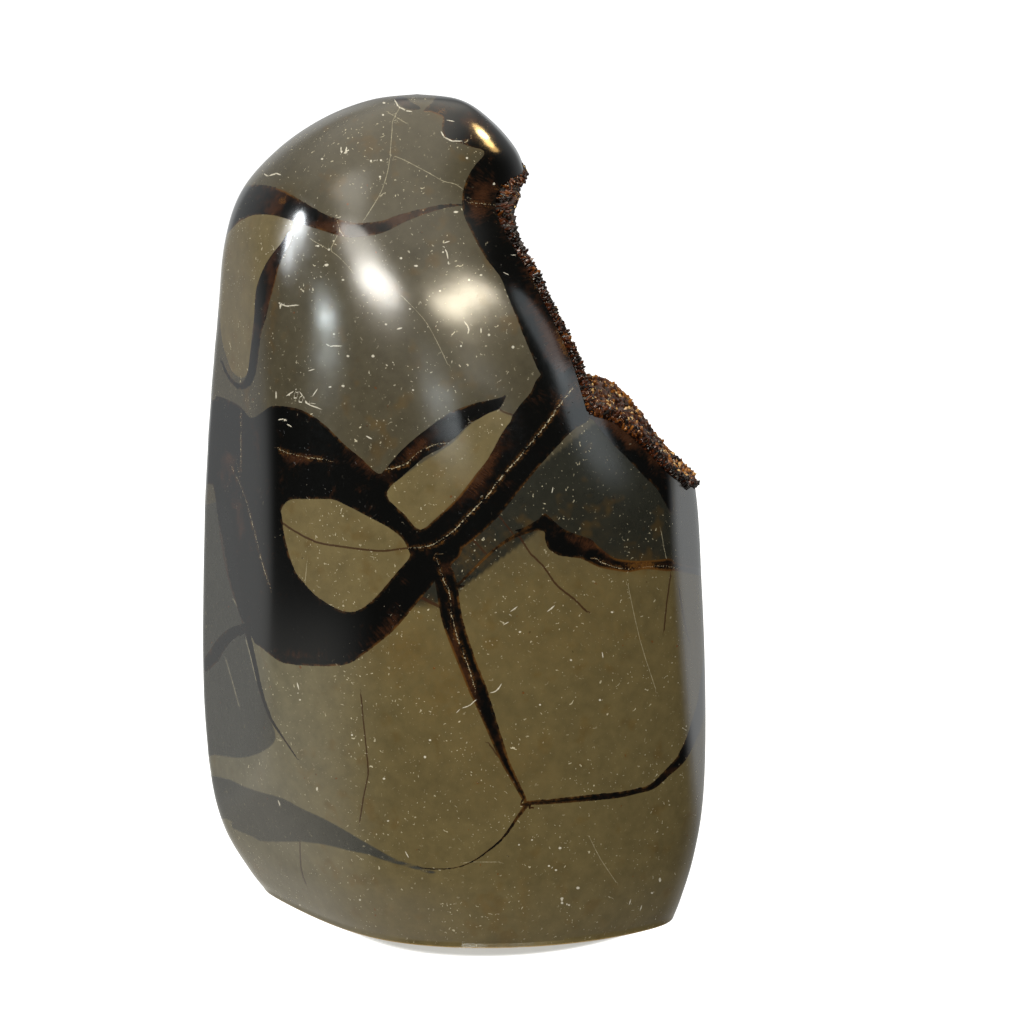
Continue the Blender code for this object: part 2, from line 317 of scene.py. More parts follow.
LOWER_CRACK = (
    (246, 625, 2.5), (254, 660, 2.2), (261, 691, 1.8), (271, 719, 1.4), (284, 739, 0.9), (296, 757, 0.6),
)
STROKES = tuple((0.0, line) for line in (SHOULDER_VEIN, CORNER_VEIN, MAIN_STEM, RIGHT_FOOT, LEFT_FOOT,
                                         BLOCK_SPLIT, BLOCK_END, LEFT_ARM, LOWER_CRACK))

# Thin dark cracks: a half width, then the points.
THIN_CRACKS = (
    (0.9, ((281, 522), (296, 532), (316, 542), (337, 546), (359, 549), (379, 551), (393, 550), (408, 548))),
    (0.9, ((500, 410), (506, 413), (512, 415))),
    (0.9, ((519, 536), (531, 554), (543, 566), (554, 582), (562, 590), (574, 599), (586, 611))),
    (0.7, ((500, 517), (507, 526), (513, 534))),
    (0.6, ((361, 695), (363, 717), (365, 736), (367, 756), (368, 775), (364, 794), (360, 821))),
    (0.6, ((220, 533), (228, 576), (241, 617), (246, 635))),
    (0.6, ((679, 588), (685, 625), (689, 641))),
    (0.6, ((671, 574), (667, 601), (664, 631))),
    (0.6, ((300, 842), (301, 868), (306, 884))),
    (1.4, ((420, 597), (428, 601), (440, 607))),
    (0.7, ((490, 745), (497, 755), (503, 760))),
    (0.8, ((485, 553), (478, 545), (471, 538))),
)

# Cream seams in the calcite, where crystals from both walls met.
CREAM_SEAMS = (
    (0.9, ((388, 469), (405, 464), (413, 457), (422, 450), (437, 444), (451, 443))),
    (1.5, ((413, 548), (434, 544), (454, 530), (468, 515), (485, 498), (502, 476), (519, 457), (539, 433),
           (560, 404), (575, 385))),
    (0.9, ((437, 561), (444, 580), (450, 593), (451, 612), (456, 631), (463, 651), (471, 673), (474, 685))),
    (0.8, ((472, 202), (484, 204), (501, 206))),
    (0.7, ((241, 411), (241, 440), (241, 469))),
    (0.7, ((281, 450), (300, 456), (325, 459))),
    (0.7, ((233, 469), (241, 487), (248, 507), (255, 533), (261, 558), (269, 584))),
    (0.8, ((598, 560), (612, 566), (630, 569), (652, 566), (675, 567))),
    (1.0, ((338, 221), (340, 229), (343, 236))),
    (0.7, ((423, 207), (424, 211), (423, 216))),
    (0.8, ((393, 100), (395, 104), (400, 108), (409, 110), (421, 111))),
    (1.1, ((441, 126), (440, 131), (445, 138), (451, 142), (461, 144), (467, 140))),
)

# Pale hairlines in the stone.
PALE_LINES = (
    (0.6, ((399, 109), (393, 120), (392, 131), (391, 143), (390, 155), (388, 170), (384, 184), (379, 196),
           (364, 220))),
    (0.5, ((390, 155), (402, 159), (429, 173), (443, 181), (455, 184), (464, 190))),
    (0.5, ((312, 240), (329, 250), (339, 257), (352, 271))),
    (0.5, ((402, 296), (423, 318), (433, 334), (442, 352), (448, 365))),
    (0.5, ((340, 230), (331, 248))),
    (0.5, ((389, 113), (406, 123))),
    (0.5, ((661, 530), (664, 548), (668, 565))),
    (0.5, ((307, 561), (306, 572), (305, 583))),
    (0.5, ((628, 585), (640, 640), (656, 690))),
    (0.5, ((467, 862), (500, 862))),
    (0.5, ((590, 838), (600, 858), (616, 882))),
    (0.6, ((226, 660), (233, 684), (239, 706))),
    (0.9, ((234, 600), (239, 610), (243, 620))), (0.8, ((246, 640), (252, 662), (256, 680))),
)

# Bright remains of shells and fibres, each a half width and its points.
BRIGHT_LINES = (
    (0.7, ((295, 401), (305, 403), (323, 410))), (0.8, ((286, 396), (294, 391))),
    (0.6, ((299, 391), (305, 399))), (0.6, ((312, 397), (318, 388))), (0.6, ((308, 371), (315, 369))),
    (0.7, ((292, 398), (297, 398))), (0.7, ((326, 344), (330, 346), (343, 346))),
    (0.7, ((280, 309), (281, 304), (286, 306), (300, 305))), (0.8, ((447, 252), (448, 259))),
    (0.9, ((481, 328), (481, 333))), (0.8, ((464, 321), (469, 328), (468, 334))),
    (1.0, ((397, 329), (402, 328))),
    (0.8, ((341, 147), (341, 151), (344, 153.4), (347, 151), (346.5, 147))),
    (0.7, ((444, 243), (450, 241))), (0.8, ((276, 391), (276, 399))), (0.8, ((264, 174), (268, 176))),
    (0.9, ((275, 173), (281, 175))), (0.5, ((503, 272), (509, 275))), (0.5, ((511, 255), (516, 255))),
    (0.9, ((366, 436), (372, 439))), (0.6, ((456, 713), (462, 708), (469, 706), (477, 699))),
    (0.6, ((490, 693), (497, 691), (502, 683))), (0.7, ((278, 420), (284, 419))),
    (0.7, ((287, 424), (292, 427))), (0.6, ((553, 487), (552, 493))), (0.6, ((405, 851), (409, 858))),
    (0.6, ((629, 905), (631, 899))), (0.6, ((642, 905), (640, 911))), (0.6, ((510, 612), (518, 606))),
    (0.6, ((503, 625), (509, 622))), (0.7, ((602, 652), (603, 658))), (0.8, ((297, 682), (299, 690))),
    (0.8, ((547, 612), (555, 605))), (0.8, ((278, 800), (280, 806))),
    (0.8, ((394, 99), (399, 107), (406, 110.5), (412, 111.5))), (0.6, ((446, 120), (455, 121.5))),
    (0.8, ((441, 131), (444, 137), (452, 141), (463, 141))),
)

# Bright spots: middle, half length and half width.
BRIGHT_SPOTS = (
    (326.5, 265, 2.6, 1.7), (329, 249.5, 1.6, 1.3), (318, 246, 1.8, 1.2), (343, 280, 1.7, 1.1),
    (449, 263.5, 1.7, 1.3), (416, 266, 2.5, 1.2), (401, 258, 1.6, 1.3), (410, 309, 1.4, 1.1),
    (386, 324, 1.5, 1.2), (348, 356, 1.8, 1.2), (373, 356, 1.9, 1.8), (334, 334, 1.5, 1.3),
    (343, 386, 2.0, 1.4), (330, 387, 1.8, 1.1), (413, 390, 1.4, 1.1), (469, 280, 1.4, 1.2),
    (481, 275, 1.8, 1.2), (440, 291, 1.5, 1.4), (461, 346, 1.2, 1.5), (489, 335, 1.6, 1.5),
    (513, 347, 1.8, 1.7), (494, 184, 1.5, 1.5), (384, 103, 1.9, 1.2), (383, 115, 1.4, 1.1),
    (381, 160, 1.4, 1.2), (371, 161, 1.3, 1.3), (380, 177, 1.4, 1.4), (322, 159, 1.6, 1.1),
    (443, 252, 1.4, 1.1), (456, 212, 3.0, 1.4), (467, 158, 1.5, 1.4), (578, 888, 2.0, 1.5),
    (562, 903, 1.6, 1.2), (569, 905, 1.4, 1.1), (560, 848, 1.9, 1.4), (556, 870, 1.6, 1.3),
    (549, 866, 1.4, 1.2), (660, 880, 1.5, 2.4), (652, 893, 1.4, 1.1), (562, 899, 2.4, 2.2),
    (532, 840, 1.3, 1.1), (519, 845, 1.2, 1.1), (300, 905, 1.4, 1.1), (388, 821, 1.4, 1.1),
    (360, 900, 1.3, 1.1), (600, 700, 1.5, 1.1), (571, 660, 1.4, 1.3), (540, 705, 1.3, 1.1),
    (430, 740, 1.5, 1.1), (352, 735, 1.2, 1.5), (300, 700, 1.3, 1.1), (520, 632, 1.6, 1.2),
    (612, 612, 1.5, 1.1), (425, 757, 1.6, 1.8), (384, 779, 1.6, 1.4), (317, 789, 1.2, 2.2),
)

# Browner calcite: centre, radii, tilt and strength. The patch at (478, 130) partly paints the golden
# reflection there.
BROWN_AND_GLOW_PATCHES = (
    ((342, 228), (34, 11), 6, 0.7), ((405, 218), (44, 9), -12, 0.7), ((266, 205), (14, 12), 0, 0.55),
    ((366, 462), (24, 9), 42, 0.8), ((484, 468), (9, 48), 35, 0.75), ((300, 458), (26, 5), 8, 0.7),
    ((456, 640), (6, 34), -14, 0.5), ((480, 200), (14, 30), 0, 0.6), ((547, 335), (9, 40), -25, 0.8),
    ((616, 430), (42, 8), 40, 0.8), ((228, 470), (7, 14), 0, 0.5), ((240, 520), (7, 40), -15, 0.45),
    ((600, 548), (40, 6), 20, 0.6), ((446, 568), (12, 9), 0, 0.5), ((270, 280), (5, 40), 10, 0.6),
    ((420, 445), (30, 7), -38, 0.8), ((390, 625), (22, 8), -45, 0.4), ((296, 655), (30, 6), 5, 0.4),
    ((478, 130), (26, 13), 45, 0.6), ((404, 102), (10, 5), 20, 0.5),
)


def curve_through(points, place):
    """Smooth curve through a list of points, read at place (0 at the first, 1 at the second...)."""
    points = np.asarray(points, float)
    last = len(points) - 1
    start = np.clip(np.floor(place).astype(int), 0, last - 1)
    part = (place - start)[..., None]
    before = points[np.maximum(start - 1, 0)]
    here = points[start]
    there = points[start + 1]
    after = points[np.minimum(start + 2, last)]
    return 0.5 * (2 * here + (there - before) * part
                  + (2 * before - 5 * here + 4 * there - after) * part ** 2
                  + (3 * here - before - 3 * there + after) * part ** 3)


def smooth_step(low, high, value):
    """0 below low, 1 above high, smooth between."""
    share = np.clip((value - low) / (high - low), 0, 1)
    return share * share * (3 - 2 * share)


def outline_middle():
    """Middle of the whole outline in plan, which the model's vertical axis runs through."""
    rows = curve_through(OUTLINE, np.linspace(0, len(OUTLINE) - 1, OUTLINE_RINGS))
    return np.array([(rows[:, 1].min() + rows[:, 2].max()) / 2, (rows[:, 3].min() + rows[:, 4].max()) / 2, 0])


def rounded(terms, power):
    """The greatest of several terms, with the corners between them rounded off."""
    return sum(np.maximum(term, 0) ** power for term in terms) ** (1 / power)


def lapped_term(x, y, z, face):
    """How far out points lie toward a flat ground face: 1 on it."""
    degrees, point, lean = face
    turn = math.radians(degrees)
    out = (x - point[0]) * math.cos(turn) + (y - point[1]) * math.sin(turn)
    return 1 + (out + lean * (z - point[2])) / LAP_SCALE


def plan_measure(x, y, z, row):
    """How far out a point lies in the stone's plan: below 1 inside it, 1 on its face."""
    left, right, front, back = row
    across = (2 * x - left - right) / (right - left)
    along = (2 * y - front - back) / (back - front)
    terms = [np.hypot((across - FRONT_CENTRE[0]) / FRONT_RADII[0],
                      (along - FRONT_CENTRE[1]) / FRONT_RADII[1])]
    for degrees, distance in BACK_FACES:
        turn = math.radians(degrees)
        terms.append((across * math.cos(turn) + along * math.sin(turn)) / distance)
    corner, *lapped = (lapped_term(x, y, z, face) for face in (CORNER_FACE, *LAPPED_FACES))
    soft = rounded(terms, FACE_ROUNDING)
    return rounded([rounded([soft, corner], CORNER_ROUNDING), *lapped], RIDGE_ROUNDING)


def spread(values, lowest, highest):
    """Values moved evenly apart or together so that they reach exactly from lowest to highest."""
    return lowest + (values - values.min()) * (highest - lowest) / (values.max() - values.min())


def even_rows(count):
    """Rows of the outline at even steps up the stone's side and over its top."""
    fine = curve_through(OUTLINE, np.linspace(0, len(OUTLINE) - 1, OUTLINE_STEPS))
    half_width = (fine[:, 2] - fine[:, 1]) / 2
    run = np.concatenate([[0], np.cumsum(np.hypot(np.diff(fine[:, 0]), np.diff(half_width)))])
    steps = np.linspace(0, run[-1], count)
    return np.stack([np.interp(steps, run, column) for column in fine.T], -1)


def ring_turns(segments):
    """Directions round a ring, closer together on the front."""
    fine = np.linspace(0, 2 * PI, TURN_STEPS)
    density = 1 + (FRONT_DENSITY - 1) * smooth_step(-0.3, 0.3, -np.sin(fine))
    run = np.concatenate([[0], np.cumsum((density[1:] + density[:-1]) / 2)])
    return np.interp(np.linspace(0, run[-1], segments, endpoint=False), run, fine)


def stone_rings(rings, segments):
    """Points on the uncut stone, ring by ring from the sawn base to the top."""
    turn = ring_turns(segments)
    points = np.zeros((rings, segments, 3))
    for index, (height, left, right, front, back) in enumerate(even_rows(rings)):
        middle = ((left + right) / 2, (front + back) / 2)
        step = (np.cos(turn) * (right - left) / 2, np.sin(turn) * (back - front) / 2)
        if right - left < 0.01:
            points[index] = (middle[0], middle[1], height)
            continue
        near = np.zeros(segments)
        far = np.full(segments, FARTHEST_REACH)
        for _ in range(HALVINGS):
            reach = (near + far) / 2
            inside = plan_measure(middle[0] + reach * step[0], middle[1] + reach * step[1],
                                  height, (left, right, front, back)) < 1
            near = np.where(inside, reach, near)
            far = np.where(inside, far, reach)
        points[index, :, 0] = spread(middle[0] + near * step[0], left, right)
        points[index, :, 1] = spread(middle[1] + near * step[1], front, back)
        points[index, :, 2] = height
    return points


def floor_lump(y, along):
    """Low irregular swells of the hollow's floor."""
    return FLOOR_LUMP * (np.sin(0.31 * y + 0.9 + 0.8 * along) + np.sin(0.47 * y - 1.3 * along)
                         + np.sin(1.7 * along + 0.12 * y)) / 2


def hollow_floor(y, along, share):
    """Points over the hollow's floor at depth y and place along its profile.

    The share is 0 on the floor and 1 at the tips of the crystals.
    """
    rim = curve_through(HOLLOW_PROFILE, along)
    ahead = curve_through(HOLLOW_PROFILE, np.minimum(along + SLOPE_STEP, len(HOLLOW_PROFILE) - 1.0))
    behind = curve_through(HOLLOW_PROFILE, np.maximum(along - SLOPE_STEP, 0.0))
    slope = ahead - behind
    low_end = LOW_END_SHARE * (1 - smooth_step(*LOW_END_HEIGHTS, rim[..., 0]))
    share = low_end + share * (1 - low_end)
    length = np.hypot(slope[..., 0], slope[..., 1])
    out_x = slope[..., 0] / length
    out_z = -slope[..., 1] / length
    up_wall = np.exp(-((rim[..., 0] - CAVE_HEIGHT) / CAVE_HALF_HEIGHT) ** 4)
    across = np.clip(1 - ((y - CAVE_MIDDLE) / CAVE_HALF_DEPTH) ** 2, 0, 1)
    backward = np.clip((y - FRONT_EDGE) / (BACK_EDGE - FRONT_EDGE), 0, 1)
    offset = (share * rim[..., 2] - CAVE_DEPTH * up_wall * across ** 1.3 - rim[..., 3] * backward
              + floor_lump(y, along) * np.sqrt(across))
    return np.stack([rim[..., 1] + offset * out_x, y + 0 * offset, rim[..., 0] + offset * out_z], -1)


def rim_places(step):
    """Places along the rim curve at even steps of its length."""
    places = np.linspace(0, len(HOLLOW_PROFILE) - 1, RIM_STEPS)
    rim = curve_through(HOLLOW_PROFILE, places)[:, :2]
    run = np.concatenate([[0], np.cumsum(np.hypot(*np.diff(rim, axis=0).T))])
    return np.interp(np.arange(0, run[-1], step), run, places)


def placed(name, data):
    """A new object in the scene."""
    item = bpy.data.objects.new(name, data)
    bpy.context.scene.collection.objects.link(item)
    return item


def mesh_object(name, vertices, faces):
    """A named object from points in the model's millimetres and faces of point indices."""
    mesh = bpy.data.meshes.new(name)
    mesh.from_pydata((np.asarray(vertices) * MM).tolist(), [], faces)
    return placed(name, mesh)


def grid_faces(rows, columns, closed=False):
    """Four-sided faces of a grid of points stored row by row."""
    faces = []
    for row in range(rows - 1):
        for column in range(columns if closed else columns - 1):
            following = (column + 1) % columns
            here = row * columns
            above = here + columns
            faces.append((here + column, here + following, above + following, above + column))
    return faces


def turn_outward(mesh):
    """Turn all faces of a closed mesh outward."""
    shape = bmesh.new()
    shape.from_mesh(mesh)
    bmesh.ops.recalc_face_normals(shape, faces=shape.faces)
    shape.to_mesh(mesh)
    shape.free()


def wall_faces(rows, columns):
    """Faces from the border of a grid of points to that of a second grid, stored after it."""
    border = list(range(columns)) + [row * columns + columns - 1 for row in range(1, rows)]
    border += [(rows - 1) * columns + column for column in range(columns - 2, -1, -1)]
    border += [row * columns for row in range(rows - 2, 0, -1)]
    count = rows * columns
    return [(following, point, count + point, count + following)
            for point, following in zip(border, border[1:] + border[:1])]


def soft_patch(places, centre, radii, tilt):
    """A soft round patch on the photograph: 1 at its middle, 0 well outside."""
    turn = math.radians(tilt)
    offset = places - np.array(centre)
    across = offset[:, 0] * math.cos(turn) + offset[:, 1] * math.sin(turn)
    along = offset[:, 1] * math.cos(turn) - offset[:, 0] * math.sin(turn)
    return np.exp(-(across / radii[0]) ** 2 - (along / radii[1]) ** 2)


def polish_cut(points, normals):
    """How far the polish has cut each point in from the solid's face."""
    x, y, z = points.T
    swell = (np.sin(x / 9.0 + 0.8 * np.sin(z / 17.0)) + np.sin(z / 12.0 + 0.7 * np.sin(x / 13.0 + 1.0))
             + np.sin((x + z) / 8.0 + y / 11.0))
    cut = POLISH_WAVE * (0.5 + swell / 6)
    places = photo_place(points)
    raised = sum(height * soft_patch(places, centre, radii, tilt)
                 for centre, radii, tilt, height in FRONT_SWELLS)
    facing = np.clip(-normals[:, 1] * 1.3 - 0.3, 0, 1)
    return cut + facing * (POLISH_DEPTH - raised)


def make_blank(rings, segments):
    """The whole stone before the hollow, closed by its sawn base and its top point."""
    points = stone_rings(rings, segments)
    body = points[:-1].reshape(-1, 3)
    base = points[0].mean(axis=0)
    vertices = np.concatenate([body, [base, points[-1, 0]]]) - outline_middle()
    faces = grid_faces(rings - 1, segments, closed=True)
    last = (rings - 2) * segments
    for segment in range(segments):
        following = (segment + 1) % segments
        faces.append((len(body), following, segment))
        faces.append((len(body) + 1, last + segment, last + following))
    return mesh_object("polished_nodule", vertices, faces), points


def make_hollow_cutter():
    """The space of the hollow: its floor, carried far out to the right."""
    places = rim_places(FLOOR_STEP)
    depths = np.arange(HOLLOW_FRONT, HOLLOW_BACK, FLOOR_STEP)
    y, along = (grid.ravel() for grid in np.meshgrid(depths, places))
    far = np.stack([np.full(len(y), CUTTER_REACH), y, curve_through(HOLLOW_PROFILE, along)[:, 0]], -1)
    sheet = grid_faces(len(places), len(depths))
    faces = sheet + [tuple(len(y) + corner for corner in reversed(face)) for face in sheet]
    faces += wall_faces(len(places), len(depths))
    points = np.concatenate([far, hollow_floor(y, along, 0.0)]) - outline_middle()
    return mesh_object("hollow_cutter", points, faces)


def mesh_arrays(mesh):
    """Places in millimetres and outward directions of a mesh's points."""
    places, normals = np.zeros((2, len(mesh.vertices) * 3))
    mesh.vertices.foreach_get("co", places)
    mesh.vertex_normals.foreach_get("vector", normals)
    return places.reshape(-1, 3) / MM, normals.reshape(-1, 3)


def make_stone():
    """The polished stone with its hollow."""
    stone, rings = make_blank(RINGS, SEGMENTS)
    turn_outward(stone.data)
    places, normals = mesh_arrays(stone.data)
    normals[places[:, 2] < 0.01] = 0
    places -= normals * polish_cut(places, normals)[:, None]
    stone.data.vertices.foreach_set("co", (places * MM).ravel())
    cutter = make_hollow_cutter()
    turn_outward(cutter.data)
    cut = stone.modifiers.new("hollow", "BOOLEAN")
    cut.operation = "DIFFERENCE"
    cut.solver = "EXACT"
    cut.object = cutter
    graph = bpy.context.evaluated_depsgraph_get()
    carved = bpy.data.meshes.new_from_object(stone.evaluated_get(graph))
    stone.modifiers.clear()
    stone.data = carved
    bpy.data.objects.remove(cutter, do_unlink=True)
    carved.materials.clear()
    carved.shade_smooth()
    carved.set_sharp_from_angle(angle=math.radians(SHARP_EDGE))
    return stone, rings


def photo_place(points):
    """Where points of the model fall in the photograph, in pixels."""
    offset = points - np.array(CAMERA_AIM)
    depth = CAMERA_DISTANCE + offset @ CAMERA_AWAY
    return np.stack([IMAGE_PIXELS / 2 + FOCAL_PIXELS * offset[:, 0] / depth,
                     IMAGE_PIXELS / 2 - FOCAL_PIXELS * (offset @ CAMERA_UP) / depth], -1)


# Between which depths behind the middle the pattern begins to drift.
DRIFT_DEPTHS = (12.0, 38.0)


def drift_behind(points):
    """How far the pattern has drifted behind the visible face, in pixels, as veins do with depth."""
    x, y, z = points.T
    behind = smooth_step(*DRIFT_DEPTHS, y)
    across = 34 * np.sin(z / 23 + 1.3) + 12 * np.sin(z / 8.5 + x / 31)
    upward = 30 * np.sin(x / 19 + 0.7) + 10 * np.sin(x / 9 - z / 27)
    return behind[:, None] * np.stack([across, upward], -1)


class Pattern:
    """Distances in millimetres from every point of the stone to the lines of its pattern."""

    def __init__(self, points, normals):
        self.places = photo_place(points) + drift_behind(points)
        self.scale = FOCAL_PIXELS / CAMERA_DISTANCE
        self.right = normals[:, 0]
        self.up = normals @ CAMERA_UP

    def near(self, path, margin):
        """Indices of the points within margin pixels of a path's extent."""
        low = path[:, :2].min(axis=0) - margin
        high = path[:, :2].max(axis=0) + margin
        return np.nonzero(((self.places > low) & (self.places < high)).all(axis=1))[0]

    def stretch(self, chosen, toward_x, toward_y):
        """Pixels per millimetre of the surface, straight away from a line."""
        length = np.maximum(np.hypot(toward_x, toward_y), 1e-6)
        facing = (toward_x * self.right[chosen] - toward_y * self.up[chosen]) / length
        return self.scale * np.clip(np.sqrt(np.maximum(1 - facing ** 2, 0)), LEAST_STRETCH, 1)

    def measure(self, path, chosen):
        """Nearest part of a path: distance, side, run along it and half width, in millimetres."""
        px, py = self.places[chosen].T
        best = np.full(len(chosen), 1e9)
        side = np.zeros(len(chosen))
        run = np.zeros(len(chosen))
        half = np.zeros(len(chosen))
        toward = np.zeros((2, len(chosen)))
        passed = 0.0
        for here, there in zip(path[:-1], path[1:]):
            step = there - here
            length = math.hypot(step[0], step[1])
            share = np.clip(((px - here[0]) * step[0] + (py - here[1]) * step[1]) / length ** 2, 0, 1)
            off_x = px - here[0] - share * step[0]
            off_y = py - here[1] - share * step[1]
            width = here[2] + share * step[2]
            distance = np.hypot(off_x, off_y)
            closer = distance - width < best
            best = np.where(closer, distance - width, best)
            half = np.where(closer, width, half)
            run = np.where(closer, passed + share * length, run)
            turned = np.where((px - here[0]) * step[1] - (py - here[1]) * step[0] < 0, -1.0, 1.0)
            side = np.where(closer, distance * turned, side)
            toward = np.where(closer, np.stack([off_x, off_y]), toward)
            passed += length
        stretch = self.stretch(chosen, *toward)
        return (best + half) / stretch, side / stretch, run / self.scale, half / stretch

    def inside(self, path, chosen):
        """Which points lie inside a closed path."""
        px, py = self.places[chosen].T
        within = np.zeros(len(chosen), bool)
        for here, there in zip(path[:-1], path[1:]):
            crosses = (here[1] > py) != (there[1] > py)
            reach = here[0] + (py - here[1]) * (there[0] - here[0]) / (there[1] - here[1] + 1e-9)
            within ^= crosses & (px < reach)
        return within


def smooth_path(points, half=0.0, closed=False, parts=3):
    """A path of pixels with half widths, rounded between its points."""
    path = np.array([tuple(point) + (() if len(point) == 3 else (half,)) for point in points], float)
    if closed:
        path = np.concatenate([path[-2:], path, path[:3]])
        places = np.arange(2 * parts, (len(path) - 3) * parts + 1) / parts
    else:
        places = np.linspace(0, len(path) - 1, (len(path) - 1) * parts + 1)
    curve = curve_through(path, places)
    curve[:, 2] = np.maximum(curve[:, 2], 0)
    return curve


def outline_distance(pattern, outline):
    """Signed distance to a closed outline, below 0 inside, and the run along its edge."""
    path = smooth_path(outline, closed=True)
    chosen = pattern.near(path, OUTLINE_MARGIN)
    distance, _, run, _ = pattern.measure(path, chosen)
    distance = np.where(pattern.inside(path, chosen), -distance, distance)
    return chosen, distance, run


# A distance that counts as far from every line, how many pixels round outlines, lines and ovals are
# measured, and how much the slope of the surface may shorten a millimetre in the photograph.
FAR = 9.0
OUTLINE_MARGIN = 30
LINE_MARGIN = 25
OVAL_MARGIN = 14
LEAST_STRETCH = 0.22


def take_over(chosen, better, *pairs):
    """Give each field its new values at those of the chosen points where they are better."""
    for field, values in pairs:
        field[chosen[better]] = values[better]


def vein_field(pattern):
    """Distance to the edge of the calcite, and the run along that edge, at every point."""
    field = np.full(len(pattern.places), FAR)
    along = np.zeros(len(pattern.places))
    for outline in VEIN_OUTLINES:
        chosen, distance, run = outline_distance(pattern, outline)
        take_over(chosen, distance < field[chosen], (field, distance), (along, run))
    for outline in (EYE_LENS, DIAMOND_LENS):
        chosen, distance, run = outline_distance(pattern, outline)
        take_over(chosen, -distance > field[chosen], (field, -distance), (along, run))
    return field, along


def outline_field(pattern, outlines):
    """Distance to the nearest of some outlines, below 0 inside it, at every point."""
    field = np.full(len(pattern.places), FAR)
    for outline in outlines:
        chosen, distance, _ = outline_distance(pattern, outline)
        field[chosen] = np.minimum(field[chosen], distance)
    return field


def line_fields(pattern, lines):
    """Side, half width and distance of the nearest of a set of thin lines, at every point."""
    side, far, nearest = np.full((3, len(pattern.places)), FAR)
    half = np.zeros(len(pattern.places))
    for width, line in lines:
        path = smooth_path(line, width)
        chosen = pattern.near(path, LINE_MARGIN)
        distance, turned, _, wide = pattern.measure(path, chosen)
        take_over(chosen, distance - wide < nearest[chosen], (nearest, distance - wide), (far, distance),
                  (side, turned), (half, wide))
    return side, half, far


def bright_ovals():
    """Every bright spot, and every piece of the bright lines, as a narrow oval: middle, halves and turn."""
    ovals = [(*spot, 0.0) for spot in BRIGHT_SPOTS]
    for width, line in BRIGHT_LINES:
        for here, there in zip(line[:-1], line[1:]):
            step = (there[0] - here[0], there[1] - here[1])
            ovals.append(((here[0] + there[0]) / 2, (here[1] + there[1]) / 2, math.hypot(*step) / 2 + width,
                          width, math.atan2(step[1], step[0])))
    return ovals


def bright_fields(pattern):
    """Each point's place in its nearest bright oval, in the oval's own halves, and the gap to it."""
    long_way, short_way, gap = np.full((3, len(pattern.places)), FAR)
    for x, y, half_length, half_width, turn in bright_ovals():
        chosen = pattern.near(np.array([(x, y)]), OVAL_MARGIN + half_length)
        offset = pattern.places[chosen] - (x, y)
        along = offset @ (math.cos(turn), math.sin(turn))
        across = offset @ (-math.sin(turn), math.cos(turn))
        outside = np.hypot(np.maximum(np.abs(along) - half_length, 0), across) / pattern.scale
        take_over(chosen, outside < gap[chosen], (long_way, along / half_length),
                  (short_way, across / half_width), (gap, outside))
    return long_way, short_way, gap


def patch_field(pattern, patches):
    """The strongest of a set of soft patches, at every point."""
    field = np.zeros(len(pattern.places))
    for centre, radii, tilt, strength in patches:
        field = np.maximum(field, strength * soft_patch(pattern.places, centre, radii, tilt))
    return field


def give_value(mesh, name, values):
    """Store one number for every point of a mesh."""
    layer = mesh.attributes.new(name, "FLOAT", "POINT")
    layer.data.foreach_set("value", np.asarray(values, np.float32))


# Soft brown stains, in photograph pixels: centre, radii, tilt and strength.
RUST_PATCHES = (
    ((282, 200), (10, 12), 0, 0.9), ((228, 457), (9, 7), 0, 0.8), ((474, 560), (22, 34), 35, 0.55),
    ((428, 601), (12, 5), 20, 0.8), ((640, 566), (40, 9), 0, 1.0), ((456, 495), (12, 26), 35, 0.6),
    ((442, 111), (12, 7), 0, 0.9), ((560, 400), (16, 20), 35, 0.8), ((500, 188), (20, 10), 0, 0.8),
    ((563, 345), (9, 44), -25, 0.9), ((455, 600), (9, 12), 0, 0.6), ((457, 650), (7, 22), -20, 0.6),
    ((612, 404), (36, 13), 42, 0.95), ((588, 394), (16, 12), 0, 0.9), ((655, 458), (26, 7), 50, 0.55),
    ((512, 215), (11, 30), -8, 0.9), ((534, 282), (8, 36), -24, 0.8), ((537, 675), (5, 3), 0, 0.7),
    ((419, 616), (6, 4), 0, 0.6), ((370, 572), (6, 5), 0, 0.5), ((353, 519), (8, 4), 0, 0.5),
    ((455, 690), (34, 34), 20, 0.6), ((400, 650), (40, 30), 0, 0.5), ((560, 610), (120, 70), 0, 0.3),
    ((524, 880), (5, 60), 0, 0.45), ((500, 760), (60, 50), 0, 0.3), ((275, 300), (5, 40), 8, 0.7),
    ((520, 245), (10, 40), -25, 0.5), ((300, 470), (20, 8), 10, 0.35),
)

# Where the stone's colours change, in photograph pixels.
LOWER_ROWS = (490, 610)
LOWER_TILT = 0.1
LOWER_COLUMN = 450
LEFT_COLUMNS = (420, 250)
LEFT_ROWS = (500, 640)
BLOCK_CORNER = (437, 548)
BLOCK_SLOPE = (0.62, 0.78)
BLOCK_UNDERSIDE = ((440, 605), (543, 527), (605, 566), (671, 568), (720, 570))
BLOCK_TOP_ROWS = (400, 420)


def block_share(pattern):
    """How much of each point belongs to the darker block at the right."""
    px, py = pattern.places.T
    right = (pattern.places - BLOCK_CORNER) @ BLOCK_SLOPE
    above = smooth_step(-1, 1, np.interp(px, *zip(*BLOCK_UNDERSIDE)) - py)
    return smooth_step(-1, 1, right) * above * smooth_step(*BLOCK_TOP_ROWS, py)


